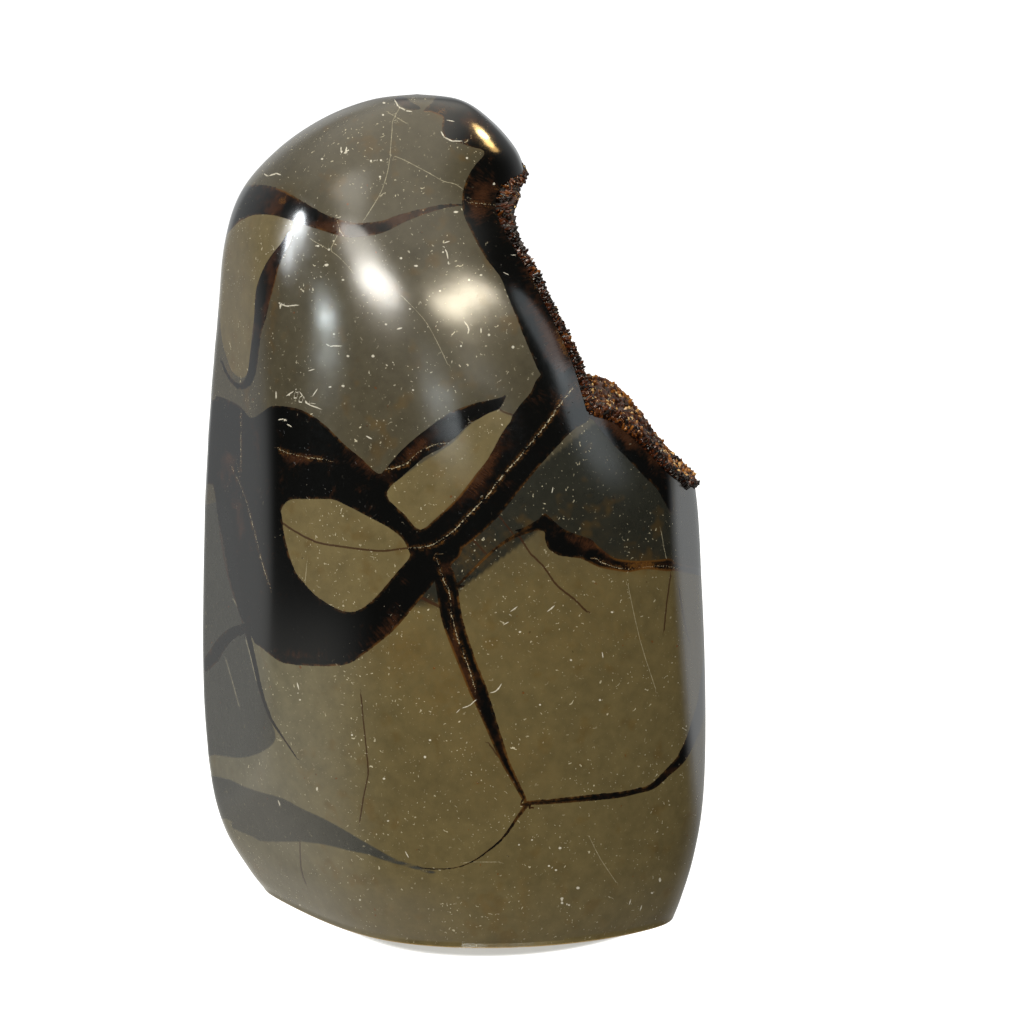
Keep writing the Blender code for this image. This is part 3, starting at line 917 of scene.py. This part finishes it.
def make_pattern(mesh):
    """Lay the pattern's distances and tones on the stone."""
    pattern = Pattern(*mesh_arrays(mesh))
    px, py = pattern.places.T
    fields = {
        "low": smooth_step(*LOWER_ROWS, py + LOWER_TILT * (px - LOWER_COLUMN)),
        "left": smooth_step(*LEFT_COLUMNS, px) * smooth_step(*LEFT_ROWS, py),
        "block": block_share(pattern),
        "slate": outline_field(pattern, (SLATE_LENS, LEFT_SLATE)),
        "lens": outline_field(pattern, (EYE_LENS, DIAMOND_LENS, CORNER_LENS)),
        "rust": patch_field(pattern, RUST_PATCHES),
        "brown": patch_field(pattern, BROWN_AND_GLOW_PATCHES),
    }
    fields["vein"], fields["along"] = vein_field(pattern)
    fields.update(zip(("bright_long", "bright_short", "bright_gap"), bright_fields(pattern)))
    for name, lines in (("stroke", STROKES), ("crack", THIN_CRACKS), ("seam", CREAM_SEAMS),
                        ("pale", PALE_LINES)):
        fields.update(zip((name + "_side", name + "_half", name + "_far"), line_fields(pattern, lines)))
    for name, values in fields.items():
        give_value(mesh, name, values)


class Wire:
    """A node's output that is added, multiplied and compared like a number."""

    def __init__(self, shader, socket):
        self.shader = shader
        self.socket = socket

    def __add__(self, other):
        return self.shader.math("ADD", self, other)

    def __sub__(self, other):
        return self.shader.math("SUBTRACT", self, other)

    def __rsub__(self, other):
        return self.shader.math("SUBTRACT", other, self)

    def __mul__(self, other):
        return self.shader.math("MULTIPLY", self, other)

    def __neg__(self):
        return self * -1.0

    __radd__ = __add__
    __rmul__ = __mul__

    def size(self):
        """Without its sign."""
        return self.shader.math("ABSOLUTE", self)

    def step(self, low, high):
        """0 below low, 1 above high, smooth between; low may be the greater."""
        made = self.shader.node("ShaderNodeMapRange", interpolation_type="SMOOTHSTEP")
        rising = low < high
        ends = (low, high, 0.0, 1.0) if rising else (high, low, 1.0, 0.0)
        for socket, value in zip(made.inputs, (self, *ends)):
            self.shader.feed(socket, value)
        return Wire(self.shader, made.outputs["Result"])


class Shader:
    """One material's or world's node tree, built up from short calls."""

    def __init__(self, tree):
        self.tree = tree

    @classmethod
    def of_material(cls, name):
        """A new material's tree, with its surface at hand."""
        material = bpy.data.materials.new(name)
        material.use_nodes = True
        shader = cls(material.node_tree)
        shader.material = material
        shader.surface = material.node_tree.nodes["Principled BSDF"]
        return shader

    def node(self, kind, **settings):
        """A new node with the given settings."""
        made = self.tree.nodes.new(kind)
        for name, value in settings.items():
            setattr(made, name, value)
        return made

    def feed(self, socket, value):
        """Link a wire to a socket, or set a plain value on it."""
        if isinstance(value, Wire):
            self.tree.links.new(value.socket, socket)
        else:
            socket.default_value = value

    def output(self, made, name, **inputs):
        """A node's output, after its inputs are fed; a name's underscores stand for spaces."""
        for socket, value in inputs.items():
            self.feed(made.inputs[socket.replace("_", " ")], value)
        return Wire(self, made.outputs[name])

    def finish(self, **inputs):
        """Feed the surface's inputs, and hand over the material."""
        self.output(self.surface, "BSDF", **inputs)
        return self.material

    def math(self, operation, first, second=0.5):
        """One step of arithmetic."""
        made = self.node("ShaderNodeMath", operation=operation)
        self.feed(made.inputs[0], first)
        self.feed(made.inputs[1], second)
        return Wire(self, made.outputs[0])

    def lowest(self, first, second):
        """The lower of two numbers."""
        return self.math("MINIMUM", first, second)

    def highest(self, first, *others):
        """The highest of some numbers."""
        for other in others:
            first = self.math("MAXIMUM", first, other)
        return first

    def vector(self, operation, first, second=(0, 0, 0)):
        """One step of vector arithmetic."""
        made = self.node("ShaderNodeVectorMath", operation=operation)
        self.feed(made.inputs[0], first)
        self.feed(made.inputs["Scale" if operation == "SCALE" else 1], second)
        return Wire(self, made.outputs["Value" if operation in ("LENGTH", "DOT_PRODUCT") else "Vector"])

    def value(self, name):
        """A number stored on the mesh."""
        return Wire(self, self.node("ShaderNodeAttribute", attribute_name=name).outputs["Fac"])

    def place(self):
        """The point's place in millimetres."""
        return self.vector("SCALE", Wire(self, self.node("ShaderNodeTexCoord").outputs["Object"]), 1 / MM)

    def noise(self, place, scale, detail=2.0, roughness=0.5):
        """Cloudy noise around 0, mostly between -0.5 and 0.5."""
        made = self.node("ShaderNodeTexNoise")
        return self.output(made, "Fac", Vector=place, Scale=scale, Detail=detail, Roughness=roughness) - 0.5

    def part(self, vector, axis):
        """One part of a vector or colour."""
        made = self.node("ShaderNodeSeparateXYZ")
        self.feed(made.inputs[0], vector)
        return Wire(self, made.outputs[axis])

    def joined(self, x, y, z):
        """A vector from its three parts."""
        return self.output(self.node("ShaderNodeCombineXYZ"), "Vector", X=x, Y=y, Z=z)

    def mix(self, share, first, second, blend="MIX"):
        """One colour turning into another as share goes from 0 to 1."""
        made = self.node("ShaderNodeMix", data_type="RGBA", blend_type=blend)
        for index, value in ((0, share), (6, first), (7, second)):
            self.feed(made.inputs[index], value)
        return Wire(self, made.outputs[2])

    def bump(self, height, distance, strength):
        """Fine relief from a height, with its distance in millimetres."""
        made = self.node("ShaderNodeBump")
        return self.output(made, "Normal", Height=height, Distance=distance * MM, Strength=strength)


def srgb(red, green, blue):
    """A colour given by its bytes on screen, as the renderer counts light."""
    parts = []
    for byte in (red, green, blue):
        level = byte / 255
        parts.append(level / 12.92 if level <= 0.04045 else ((level + 0.055) / 1.055) ** 2.4)
    return (*parts, 1.0)


# The colours of the stone, the calcite and the marks in them.
UPPER_STONE = srgb(69, 63, 47)
LOWER_STONE = srgb(95, 83, 52)
LEFT_STONE = srgb(98, 92, 70)
LENS_STONE = srgb(99, 87, 56)
BLOCK_STONE = srgb(36, 36, 29)
SLATE_STONE = srgb(54, 53, 46)
CALCITE_DARK = srgb(7, 7, 6)
CALCITE_BROWN = srgb(52, 30, 16)
CALCITE_TAN = srgb(78, 64, 52)
RIM_GOLD = srgb(104, 68, 26)
CREAM = srgb(205, 194, 160)
BRIGHT = srgb(236, 228, 205)
STAIN = srgb(88, 64, 22)
RUST = srgb(104, 54, 18)
# Painted light: the tan glow that the white floor throws back onto the foot of the stone.
FLOOR_BOUNCE_GLOW = srgb(170, 142, 92)
WHITE = (1.0, 1.0, 1.0, 1.0)

# The noises' scale to a millimetre, their detail and their roughness.
WOBBLE = (0.7, 3.0, 0.6)
FINE = (3.0, 3.0, 0.6)
CLOUD = (0.06, 3.0, 0.55)
GRAIN = (6.0, 2.0, 0.7)
STAIN_CLOUD = (0.16, 2.0, 0.6)
PATCHES = (0.28, 2.0, 0.6)
CLUSTERS = (0.11, 2.0, 0.5)
WARM_CLOUD = (0.22, 3.0, 0.65)
FIBRES = (1.0, 2.0, 0.6)
THREADS = (1.0, 1.0, 0.6)
CRUST_CLOUD = (0.12, 3.0, 0.6)
CRUST_GRAIN = (1.6, 3.0, 0.7)

# The flecks' spacing, radius and length, and the shift that sets their cells apart, in millimetres.
SPECKS = (4.8, 0.2, 0.4, 63.0)
DOTS = (1.05, 0.11, 0.14, 0.0)
SHORT_STROKES = (2.1, 0.11, 1.1, 17.0)
LONG_STROKES = (5.6, 0.15, 1.5, 41.0)
FLECK_EDGE = 0.05
BEND_SCALE = 0.9
BEND_REACH = 1.6


def flecks(shader, place, spacing, radius, length, shift):
    """Small pale remains cut by the polish: dots and short strokes, one to a cell of the stone."""
    moved = shader.vector("ADD", place, (shift, -shift, shift * 0.5))
    grown = shader.node("ShaderNodeTexVoronoi")
    middle = shader.output(grown, "Position", Vector=moved, Scale=1 / spacing)
    chances = shader.output(grown, "Color")
    offset = shader.vector("SUBTRACT", moved, middle)
    axis = shader.vector("NORMALIZE", shader.vector("SUBTRACT", chances, (0.5, 0.5, 0.5)))
    reach = length * shader.part(chances, 0)
    nearest = shader.highest(shader.lowest(shader.vector("DOT_PRODUCT", offset, axis), reach), -reach)
    rest = shader.vector("SUBTRACT", offset, shader.vector("SCALE", axis, nearest))
    wide = radius * (0.35 + shader.part(chances, 1))
    return (shader.vector("LENGTH", rest) - wide).step(FLECK_EDGE, -FLECK_EDGE)


class StoneShader(Shader):
    """The polished stone's tree, with the noises that all its parts share."""

    def start(self):
        """The noises, and the edges of the calcite and the slate-grey stone that they roughen."""
        self.spot = self.place()
        self.rust = self.value("rust")
        self.wobble = self.noise(self.spot, *WOBBLE)
        self.fine = self.noise(self.spot, *FINE)
        self.cloud = self.noise(self.spot, *CLOUD)
        self.grain = self.noise(self.spot, *GRAIN)
        half = self.value("stroke_half")
        stroke = (self.value("stroke_side") + 0.3 * self.wobble).size() - half
        away = (self.value("stroke_far") - half).step(0.9, 1.3)
        self.vein = self.lowest(self.value("vein"), stroke + FAR * away)
        self.edge = self.vein + 0.22 * self.wobble + 0.12 * self.fine
        self.slate = (self.value("slate") + 0.2 * self.wobble).step(0.2, -0.3)

    def limestone(self):
        """The stone between the veins, with its stains, specks, pits and mottling."""
        wobble = self.wobble
        body = self.mix(self.value("low"), UPPER_STONE, LOWER_STONE)
        body = self.mix(self.value("left"), body, LEFT_STONE)
        body = self.mix(self.value("block"), body, BLOCK_STONE)
        body = self.mix((self.value("lens") + 0.5 * wobble).step(0.2, -0.2), body, LENS_STONE)
        body = self.mix(self.slate, body, SLATE_STONE)
        stain_cloud = self.noise(self.spot, *STAIN_CLOUD).step(0.06, 0.22)
        stained = self.highest(self.rust * (wobble + self.cloud).step(-0.35, 0.3), 0.4 * stain_cloud)
        body = self.mix(stained * (1.0 - self.slate) * 0.8, body, STAIN)
        specks = flecks(self, self.spot, *SPECKS)
        body = self.mix(specks * wobble.step(0.05, -0.05) * 0.75, body, RUST)
        patches = self.noise(self.spot, *PATCHES)
        light = 1.0 + 0.42 * self.cloud + 0.55 * patches + 0.24 * wobble + 0.3 * self.grain
        light = light - 0.5 * (specks * wobble.step(-0.02, 0.08))
        return self.mix(1.0, body, self.joined(light, light, light), "MULTIPLY")

    def remains(self, body):
        """The stone with pale remains, hairlines, thin cracks, and painted tan bounce light at the sawn base.
        """
        clusters = self.noise(self.spot, *CLUSTERS).step(-0.06, 0.14)
        bends = self.output(self.node("ShaderNodeTexNoise"), "Color", Vector=self.spot, Scale=BEND_SCALE)
        bent = self.vector("ADD", self.spot, self.vector("SCALE", bends, BEND_REACH))
        small = flecks(self, bent, *DOTS) * (0.2 + 0.7 * clusters)
        self.strokes = flecks(self, bent, *SHORT_STROKES) * (0.3 + 0.7 * clusters)
        self.pale = self.highest(small, self.strokes, flecks(self, bent, *LONG_STROKES))
        body = self.mix(self.pale * (0.85 - 0.5 * self.slate) * (0.75 + self.wobble), body, CREAM)
        hair = self.value("pale_side").size() - 0.55 * self.value("pale_half") - 0.25 * self.fine
        hair = hair.step(0.06, -0.06) * self.value("pale_far").step(1.2, 0.9)
        body = self.mix(hair * (0.32 + 0.9 * self.wobble), body, CREAM)
        crack = (self.value("crack_side") + 0.35 * self.wobble + 0.1 * self.fine).size()
        crack = (crack - self.value("crack_half")).step(0.1, -0.06) * self.value("crack_far").step(1.6, 1.2)
        body = self.mix(crack * 0.85, body, CALCITE_BROWN)
        # Painted light: the floor's bounced tan glow, laid as colour on the lowest few tenths of a
        # millimetre.
        return self.mix((self.part(self.spot, 2) + 0.3 * self.fine).step(0.3, 0.1) * 0.6, body, FLOOR_BOUNCE_GLOW)

    def calcite(self):
        """The dark calcite, with crystals that stand on the walls of the veins and seams between them."""
        vein = self.vein
        wobble = self.wobble
        fine = self.fine
        along = self.value("along")
        fibres = self.noise(self.joined(along * 2.4, vein * 0.3, self.cloud * 4.0), *FIBRES)
        threads = self.noise(self.joined(along * 7.0, vein * 0.6, 0.0), *THREADS)
        warm = self.noise(self.spot, *WARM_CLOUD) + 0.5 * fibres + 0.3 * threads
        # The brown field is browner calcite and, at the top right, partly a painted golden reflection.
        warm = warm + 0.6 * self.value("brown") + 0.25 * self.rust
        calcite = self.mix(warm.step(0.10, 0.52), CALCITE_DARK, CALCITE_BROWN)
        calcite = self.mix(warm.step(0.45, 1.0) * 0.8, calcite, CALCITE_TAN)
        rim = self.edge.step(-0.7, -0.1) * (wobble + self.cloud + 0.8 * self.rust).step(-0.1, 0.45)
        calcite = self.mix(rim * 0.6, calcite, RIM_GOLD)
        gap = (self.value("seam_side") + 1.3 * wobble + 0.5 * fine).size() - 0.3 * self.value("seam_half")
        near = self.value("seam_far").step(2.6, 1.6)
        halo = gap.step(1.0, 0.1) * near * (fine + wobble).step(-0.1, 0.3)
        calcite = self.mix(halo * 0.55, calcite, RIM_GOLD)
        seam = gap.step(0.08, -0.08) * near * (fine + 0.6 * wobble).step(-0.06, 0.12)
        calcite = self.mix(seam * 0.8, calcite, CREAM)
        calcite = self.mix(self.strokes * 0.35 * self.cloud.step(-0.05, 0.1), calcite, CREAM)
        golden = (self.rust + 0.7 * fine + 0.5 * wobble).step(0.75, 1.0)
        return self.mix(golden * 0.6, calcite, RIM_GOLD)

    def bright_marks(self):
        """The bright lines and spots."""
        place = self.joined(self.value("bright_long"), self.value("bright_short") + 1.6 * self.wobble, 0.0)
        marks = self.vector("LENGTH", place).step(0.95, 0.55) * self.value("bright_gap").step(0.8, 0.5)
        return marks * (0.6 + 0.9 * self.fine)


def stone_material():
    """Polished grey limestone with dark calcite veins, brown rims, cream seams and pale flecks."""
    shader = StoneShader.of_material("polished_veined_stone")
    shader.start()
    body = shader.remains(shader.limestone())
    inside = shader.edge.step(0.06, -0.06)
    colour = shader.mix(shader.bright_marks(), shader.mix(inside, body, shader.calcite()), BRIGHT)
    dull = 0.18 - 0.07 * inside + 0.07 * shader.wobble + 0.06 * shader.grain + 0.25 * shader.pale
    calm = shader.vein.step(0.1, -0.3)
    relief = (0.5 * shader.fine + 0.35 * shader.grain + 0.5 * shader.wobble) * (1.0 - 0.75 * calm)
    return shader.finish(Base_Color=colour, Roughness=dull + 0.1 * shader.slate, IOR=1.5,
                         Normal=shader.bump(relief, 0.02, 0.6))


def shape_reach(rings, points):
    """How far out points lie in the uncut stone: below 1 inside it."""
    heights = rings[:, 0, 2]
    row = np.clip(np.searchsorted(heights, points[:, 2]) - 1, 0, len(heights) - 2)
    share = np.clip((points[:, 2] - heights[row]) / np.maximum(heights[row + 1] - heights[row], 1e-9), 0, 1)
    middles = (rings[..., :2].max(axis=1) + rings[..., :2].min(axis=1)) / 2
    turns = np.linspace(-PI, PI, REACH_TURNS + 1)
    radii = []
    for ring, middle in zip(rings, middles):
        x, y = (ring[:, :2] - middle).T
        radii.append(np.interp(turns, np.arctan2(y, x), np.hypot(x, y), period=2 * PI))
    radii = np.array(radii)
    x, y = (points[:, :2] - middles[row] * (1 - share[:, None]) - middles[row + 1] * share[:, None]).T
    turn = (np.arctan2(y, x) + PI) / (2 * PI) * REACH_TURNS
    low = np.clip(turn.astype(int), 0, REACH_TURNS - 1)
    part = turn - low
    lower, upper = (radii[at, low] * (1 - part) + radii[at, low + 1] * part for at in (row, row + 1))
    reach = lower * (1 - share) + upper * share
    return np.where(points[:, 2] > heights[-1], FAR, np.hypot(x, y) / np.maximum(reach, 1e-6))


def crust_rows(rings):
    """Places along the rim and the depths between which the hollow's floor lies in the stone."""
    rows = []
    depths = np.linspace(HOLLOW_FRONT, HOLLOW_BACK, DEPTH_STEPS)
    for place in rim_places(CRUST_ROW):
        floor = hollow_floor(depths, np.full(len(depths), place), CRUST_MIDDLE)
        within = np.nonzero(shape_reach(rings, floor) < 1)[0]
        if len(within) > SHORTEST_ROW:
            rows.append((place, depths[within[0]] + CRUST_INSET, depths[within[-1]] - CRUST_INSET))
    return np.array(rows)


def crystal_points(draw, foot, up, lip):
    """Points of a six-sided crystal with a pointed end: two rings and the tip."""
    up = up + np.array([draw.gauss(0, CRYSTAL_LEAN) for _ in range(3)]) - (0, LIP_LEAN * lip, 0)
    up /= np.linalg.norm(up)
    first = np.cross(up, CRYSTAL_SIDE)
    first /= np.linalg.norm(first)
    second = np.cross(up, first)
    radius = draw.uniform(*(LIP_RADII if lip else CRYSTAL_RADII))
    height = radius * draw.uniform(*(LIP_LENGTHS if lip else CRYSTAL_LENGTHS))
    shoulder = height * draw.uniform(*SHOULDER_SHARES)
    turn = draw.uniform(0, 2 * PI)
    points = []
    for level, wide in ((0.0, radius), (shoulder, radius * CRYSTAL_TAPER)):
        for corner in range(SIDES):
            angle = turn + corner * 2 * PI / SIDES
            flat = wide * (1.0 if corner % 2 else CRYSTAL_FLATNESS)
            points.append(foot + up * level + flat * (first * math.cos(angle) + second * math.sin(angle)))
    return np.array(points + [foot + up * height])


def make_crust(rings):
    """The crust of calcite crystals: a rough bed with thousands of six-sided crystals on it."""
    draw = random.Random(SEED)
    rows = crust_rows(rings)
    grid = (len(rows), CRUST_COLUMNS)
    y = np.linspace(rows[:, 1], rows[:, 2], CRUST_COLUMNS, axis=1).ravel()
    along = np.repeat(rows[:, 0], CRUST_COLUMNS)
    rough = np.array([draw.uniform(-1, 1) for _ in y])
    bed = hollow_floor(y, along, CRUST_BED + CRUST_ROUGHNESS * rough)
    faces = grid_faces(*grid) + wall_faces(*grid)
    vertices = [bed, hollow_floor(y, along, CRUST_UNDERSIDE)]
    tints = [BED_TINT + BED_TINT_CHANGE * rough, np.full(len(y), UNDERSIDE_TINT)]
    shares = [np.tile(np.linspace(0, 1, CRUST_COLUMNS), 2 * len(rows))]
    used = 2 * len(y)
    for number in range(CRYSTALS):
        index = draw.random() * (len(rows) - 1)
        place, front, back = (float(np.interp(index, range(len(rows)), column)) for column in rows.T)
        share = draw.random()
        lip = number % LIP_EVERY == 0
        level = CRUST_BED - CRYSTAL_SINK
        if lip:
            share = draw.random() ** 2 * LIP_SHARE
            level *= draw.random()
        depth = np.full(2, front + (back - front) * share)
        foot, above = hollow_floor(depth, np.full(2, place), np.array([level, CRYSTAL_AIM]))
        up = above - foot
        vertices.append(crystal_points(draw, foot, up / np.linalg.norm(up), lip))
        count = len(vertices[-1])
        for corner in range(SIDES):
            here = used + corner
            there = used + (corner + 1) % SIDES
            faces.append((here, there, there + SIDES, here + SIDES))
            faces.append((here + SIDES, there + SIDES, used + count - 1))
        tints.append(np.full(count, draw.random() * (LIP_TINT if lip else 1.0)))
        shares.append(np.full(count, share))
        used += count
    points = np.concatenate(vertices) - outline_middle()
    gold = np.interp(points[:, 2], *zip(*GOLD_LEVELS))
    inner = smooth_step(*INNER_SHARES, np.concatenate(shares))
    low, high = (np.array(corner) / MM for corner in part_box("nodule"))
    crust = mesh_object("calcite_crust", np.clip(points, low, high), faces)
    give_value(crust.data, "tint", np.concatenate(tints))
    give_value(crust.data, "gold", np.maximum(gold, INNER_GOLD * inner))
    crust.data.shade_flat()
    return crust


# The colours of the crust's crystals.
CRYSTAL_DARK = srgb(14, 7, 4)
CRYSTAL_RED = srgb(76, 34, 11)
CRYSTAL_GOLD = srgb(172, 108, 38)
CRYSTAL_PALE = srgb(228, 192, 128)


def crust_material():
    """Honey-gold to reddish-brown calcite, with pale grains."""
    shader = Shader.of_material("golden_calcite")
    place = shader.place()
    tint = shader.value("tint")
    grain = shader.noise(place, *CRUST_GRAIN)
    gold = shader.value("gold") + 1.7 * shader.noise(place, *CRUST_CLOUD) + 0.5 * grain
    colour = shader.mix((tint + 0.4 * gold).step(0.3, 1.0), CRYSTAL_DARK, CRYSTAL_RED)
    colour = shader.mix((0.7 * gold + 0.9 * tint).step(0.85, 1.5), colour, CRYSTAL_GOLD)
    colour = shader.mix((tint + 0.4 * gold).step(1.1, 1.3) * 0.85, colour, CRYSTAL_PALE)
    return shader.finish(Base_Color=colour, Roughness=0.24, IOR=1.55, Specular_IOR_Level=0.26,
                         Normal=shader.bump(grain, 0.08, 0.5))


# The floor, its light, and the shade where the stone stands.
FLOOR_REACH = 1500.0
FLOOR_COLOUR = (0.5, 0.5, 0.49, 1.0)
FLOOR_LIGHT = 0.95
FLOOR_SHADE = 0.9
SHADE_REACH = 90.0
SHADE_STEPS = 181
SHADE_WIDTH = 2.4
SHADE_SHIFTS = (0.0, 1.6, 3.2)
SHADE_SHARE = 0.8


def floor_material():
    """Plain white studio floor, darker where the stone stands."""
    shader = Shader.of_material("white_floor")
    glow = FLOOR_LIGHT - FLOOR_SHADE * shader.value("shade")
    return shader.finish(Base_Color=FLOOR_COLOUR, Roughness=0.9, Specular_IOR_Level=0.0, Emission_Color=WHITE,
                         Emission_Strength=glow)


def make_floor(rings):
    """A wide white floor under the stone, with a shade round the front of its base."""
    fine = np.linspace(-SHADE_REACH, SHADE_REACH, SHADE_STEPS)
    steps = np.concatenate([[-FLOOR_REACH], fine, [FLOOR_REACH]])
    x, y = (grid.ravel() for grid in np.meshgrid(steps, steps))
    base = (rings[0] - outline_middle())[::2, :2]
    middle = base.mean(axis=0)
    inner = middle + (base - middle) * (SHADE_SHARE, 1)
    base = np.concatenate([inner - (0, shift) for shift in SHADE_SHIFTS])
    gap = np.hypot(x[:, None] - base[:, 0], y[:, None] - base[:, 1]).min(axis=1)
    floor = mesh_object("studio_floor", np.stack([x, y, 0 * x], -1), grid_faces(len(steps), len(steps)))
    give_value(floor.data, "shade", np.exp(-(gap / SHADE_WIDTH) ** 4))
    floor.data.materials.append(floor_material())
    floor.visible_glossy = floor.visible_diffuse = floor.visible_shadow = False


# How bright the studio is to the stone, by direction: in front, beside and behind it, above it, and
# where the floor lies to its left and behind it.
WORLD_DARK = 0.03
SIDE_BRIGHT = 0.44
TOP_BRIGHT = 1.5
LEFT_FLOOR_BRIGHT = 1.1
LOW_FLOOR_BRIGHT = 1.0
LEFT_BACK_BRIGHT = 0.9
BACK_FLOOR_BRIGHT = 0.6
BACKDROP = 1.15
COOL_LIGHT = (0.95, 0.97, 0.97, 1.0)
WARM_LIGHT = (1.0, 0.95, 0.84, 1.0)


def make_world():
    """White behind the stone for the camera; for the stone, bright behind and above, dark in front."""
    world = bpy.data.worlds.new("studio")
    world.use_nodes = True
    bpy.context.scene.world = world
    shader = Shader(world.node_tree)
    direction = shader.output(shader.node("ShaderNodeTexCoord"), "Generated")
    x, y, z = (shader.part(direction, axis) for axis in range(3))
    above = z.step(0.45, 0.85) * x.step(0.58, 0.22)
    beside = y.step(-0.1, 0.5)
    back_floor = beside * z.step(-0.2, -0.55)
    left_floor = x.step(-0.55, -0.85) * z.step(-0.1, -0.4)
    low_floor = z.step(-0.42, -0.7) * (0.3 + 0.7 * x.step(0.1, -0.5))
    left_back = y.step(0.66, 0.8) * x.step(0.0, -0.3)
    bright = shader.highest(beside * SIDE_BRIGHT, above * TOP_BRIGHT, back_floor * BACK_FLOOR_BRIGHT,
                            left_floor * LEFT_FLOOR_BRIGHT, low_floor * LOW_FLOOR_BRIGHT,
                            left_back * LEFT_BACK_BRIGHT) + WORLD_DARK
    seen = shader.output(shader.node("ShaderNodeLightPath"), "Is Camera Ray")
    warm = shader.highest(above, back_floor, left_floor, low_floor)
    colour = shader.mix(seen, shader.mix(warm, COOL_LIGHT, WARM_LIGHT), WHITE)
    shader.output(world.node_tree.nodes["Background"], "Background", Color=colour,
                  Strength=bright * (1.0 - seen) + BACKDROP * seen)


def make_light(name, place, aim, size, power, colour=(1, 1, 1)):
    """A soft oval studio light, in millimetres, aimed at a point."""
    light = bpy.data.lights.new(name, "AREA")
    light.shape = "ELLIPSE"
    light.size, light.size_y = (length * MM for length in size)
    light.energy = power
    light.color = colour
    item = placed(name, light)
    item.location = Vector(place) * MM
    item.rotation_euler = (Vector(aim) - Vector(place)).to_track_quat("-Z", "Y").to_euler()
    return item


def view_ray(pixel):
    """The camera's place and the direction in which it sees a pixel."""
    half = IMAGE_PIXELS / 2
    ray = CAMERA_AWAY * FOCAL_PIXELS + CAMERA_UP * (half - pixel[1]) + (pixel[0] - half, 0, 0)
    return Vector(CAMERA_AIM - CAMERA_AWAY * CAMERA_DISTANCE), Vector(ray).normalized()


def reflected(stone, pixel):
    """The point of the stone that the camera sees at a pixel, and where its polish looks from there."""
    eye, ray = view_ray(pixel)
    _, point, normal, _ = stone.ray_cast(eye * MM, ray)
    return point / MM, (ray - 2 * ray.dot(normal) * normal).normalized()


# Lights whose reflections the photograph shows: pixel, size, power and colour.
WINDOW_DISTANCE = 700.0
HIGHLIGHTS = (
    ("left", (377, 282), (300, 165), 4.2, (1.0, 0.97, 0.90)),
    ("left_tail", (360, 248), (280, 170), 1.2, (1.0, 0.96, 0.88)),
    ("up", (350, 190), (280, 200), 0.5, (1.0, 0.97, 0.88)),
    ("right", (449, 307), (230, 76), 1.7, (1.0, 0.90, 0.70)),
    ("right_middle", (464, 299), (220, 76), 1.5, (1.0, 0.90, 0.70)),
    ("right_end", (478, 291), (230, 76), 1.5, (1.0, 0.90, 0.70)),
    ("cool", (326, 317), (150, 50), 0.8, (0.88, 0.97, 0.98)),
    ("low", (438, 394), (190, 30), 0.24, (0.9, 0.98, 1.0)),
    ("ridge", (482, 380), (220, 14), 0.06, (0.9, 0.97, 1.0)),
    ("band", (537, 325), (120, 260), 0.12, (0.86, 0.95, 1.0)),
    ("block", (590, 436), (200, 160), 0.16, (0.88, 0.96, 1.0)),
    ("edge", (299, 222), (90, 120), 1.3, (0.92, 0.97, 1.0)),
    ("edge_tail", (288, 250), (50, 140), 0.7, (0.92, 0.97, 1.0)),
    ("gold_top", (479, 129), (85, 70), 0.28, (1.0, 0.66, 0.26)),
    ("gold", (483, 134), (85, 70), 1.05, (1.0, 0.72, 0.34)),
    ("gold_low", (489, 142), (85, 70), 0.45, (1.0, 0.64, 0.24)),
    ("gold_end", (495, 150), (85, 70), 0.18, (1.0, 0.60, 0.20)),
)

# The broad light: place, what it is aimed at, size and power.
FILL_LIGHT = ((-150, -1100, 700), (0, 0, 90), (900, 900), 17.5)


def make_lights(stone):
    """Broad soft light from above and in front, and the lights that the polish reflects."""
    fill = make_light("fill", *FILL_LIGHT)
    fill.visible_glossy = False
    for name, pixel, size, power, colour in HIGHLIGHTS:
        point, direction = reflected(stone, pixel)
        window = make_light("window_" + name, point + direction * WINDOW_DISTANCE, point, size, power, colour)
        window.visible_diffuse = False


def make_camera():
    """The photograph's view."""
    camera = bpy.data.cameras.new("camera")
    camera.sensor_width = SENSOR_WIDTH
    camera.lens = SENSOR_WIDTH * FOCAL_PIXELS / IMAGE_PIXELS
    camera.clip_start = 0.01
    item = placed("camera", camera)
    item.location = view_ray((0, 0))[0] * MM
    item.rotation_euler = (math.radians(90 - CAMERA_RISE), 0, 0)
    bpy.context.scene.camera = item


def main():
    """Make the pieces, the floor, the lights and the camera."""
    make_camera()
    make_world()
    stone, rings = make_stone()
    make_floor(rings)
    make_pattern(stone.data)
    stone.data.materials.append(stone_material())
    crust = make_crust(rings)
    crust.data.materials.append(crust_material())
    make_lights(stone)
    bpy.context.scene.view_settings.view_transform = "Standard"
    for piece, node, slot in ((stone, "nodule", "polished_stone"),
                              (crust, "crystal_crust", "calcite_crystals")):
        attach(piece, "root")
        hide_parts(node)


main()
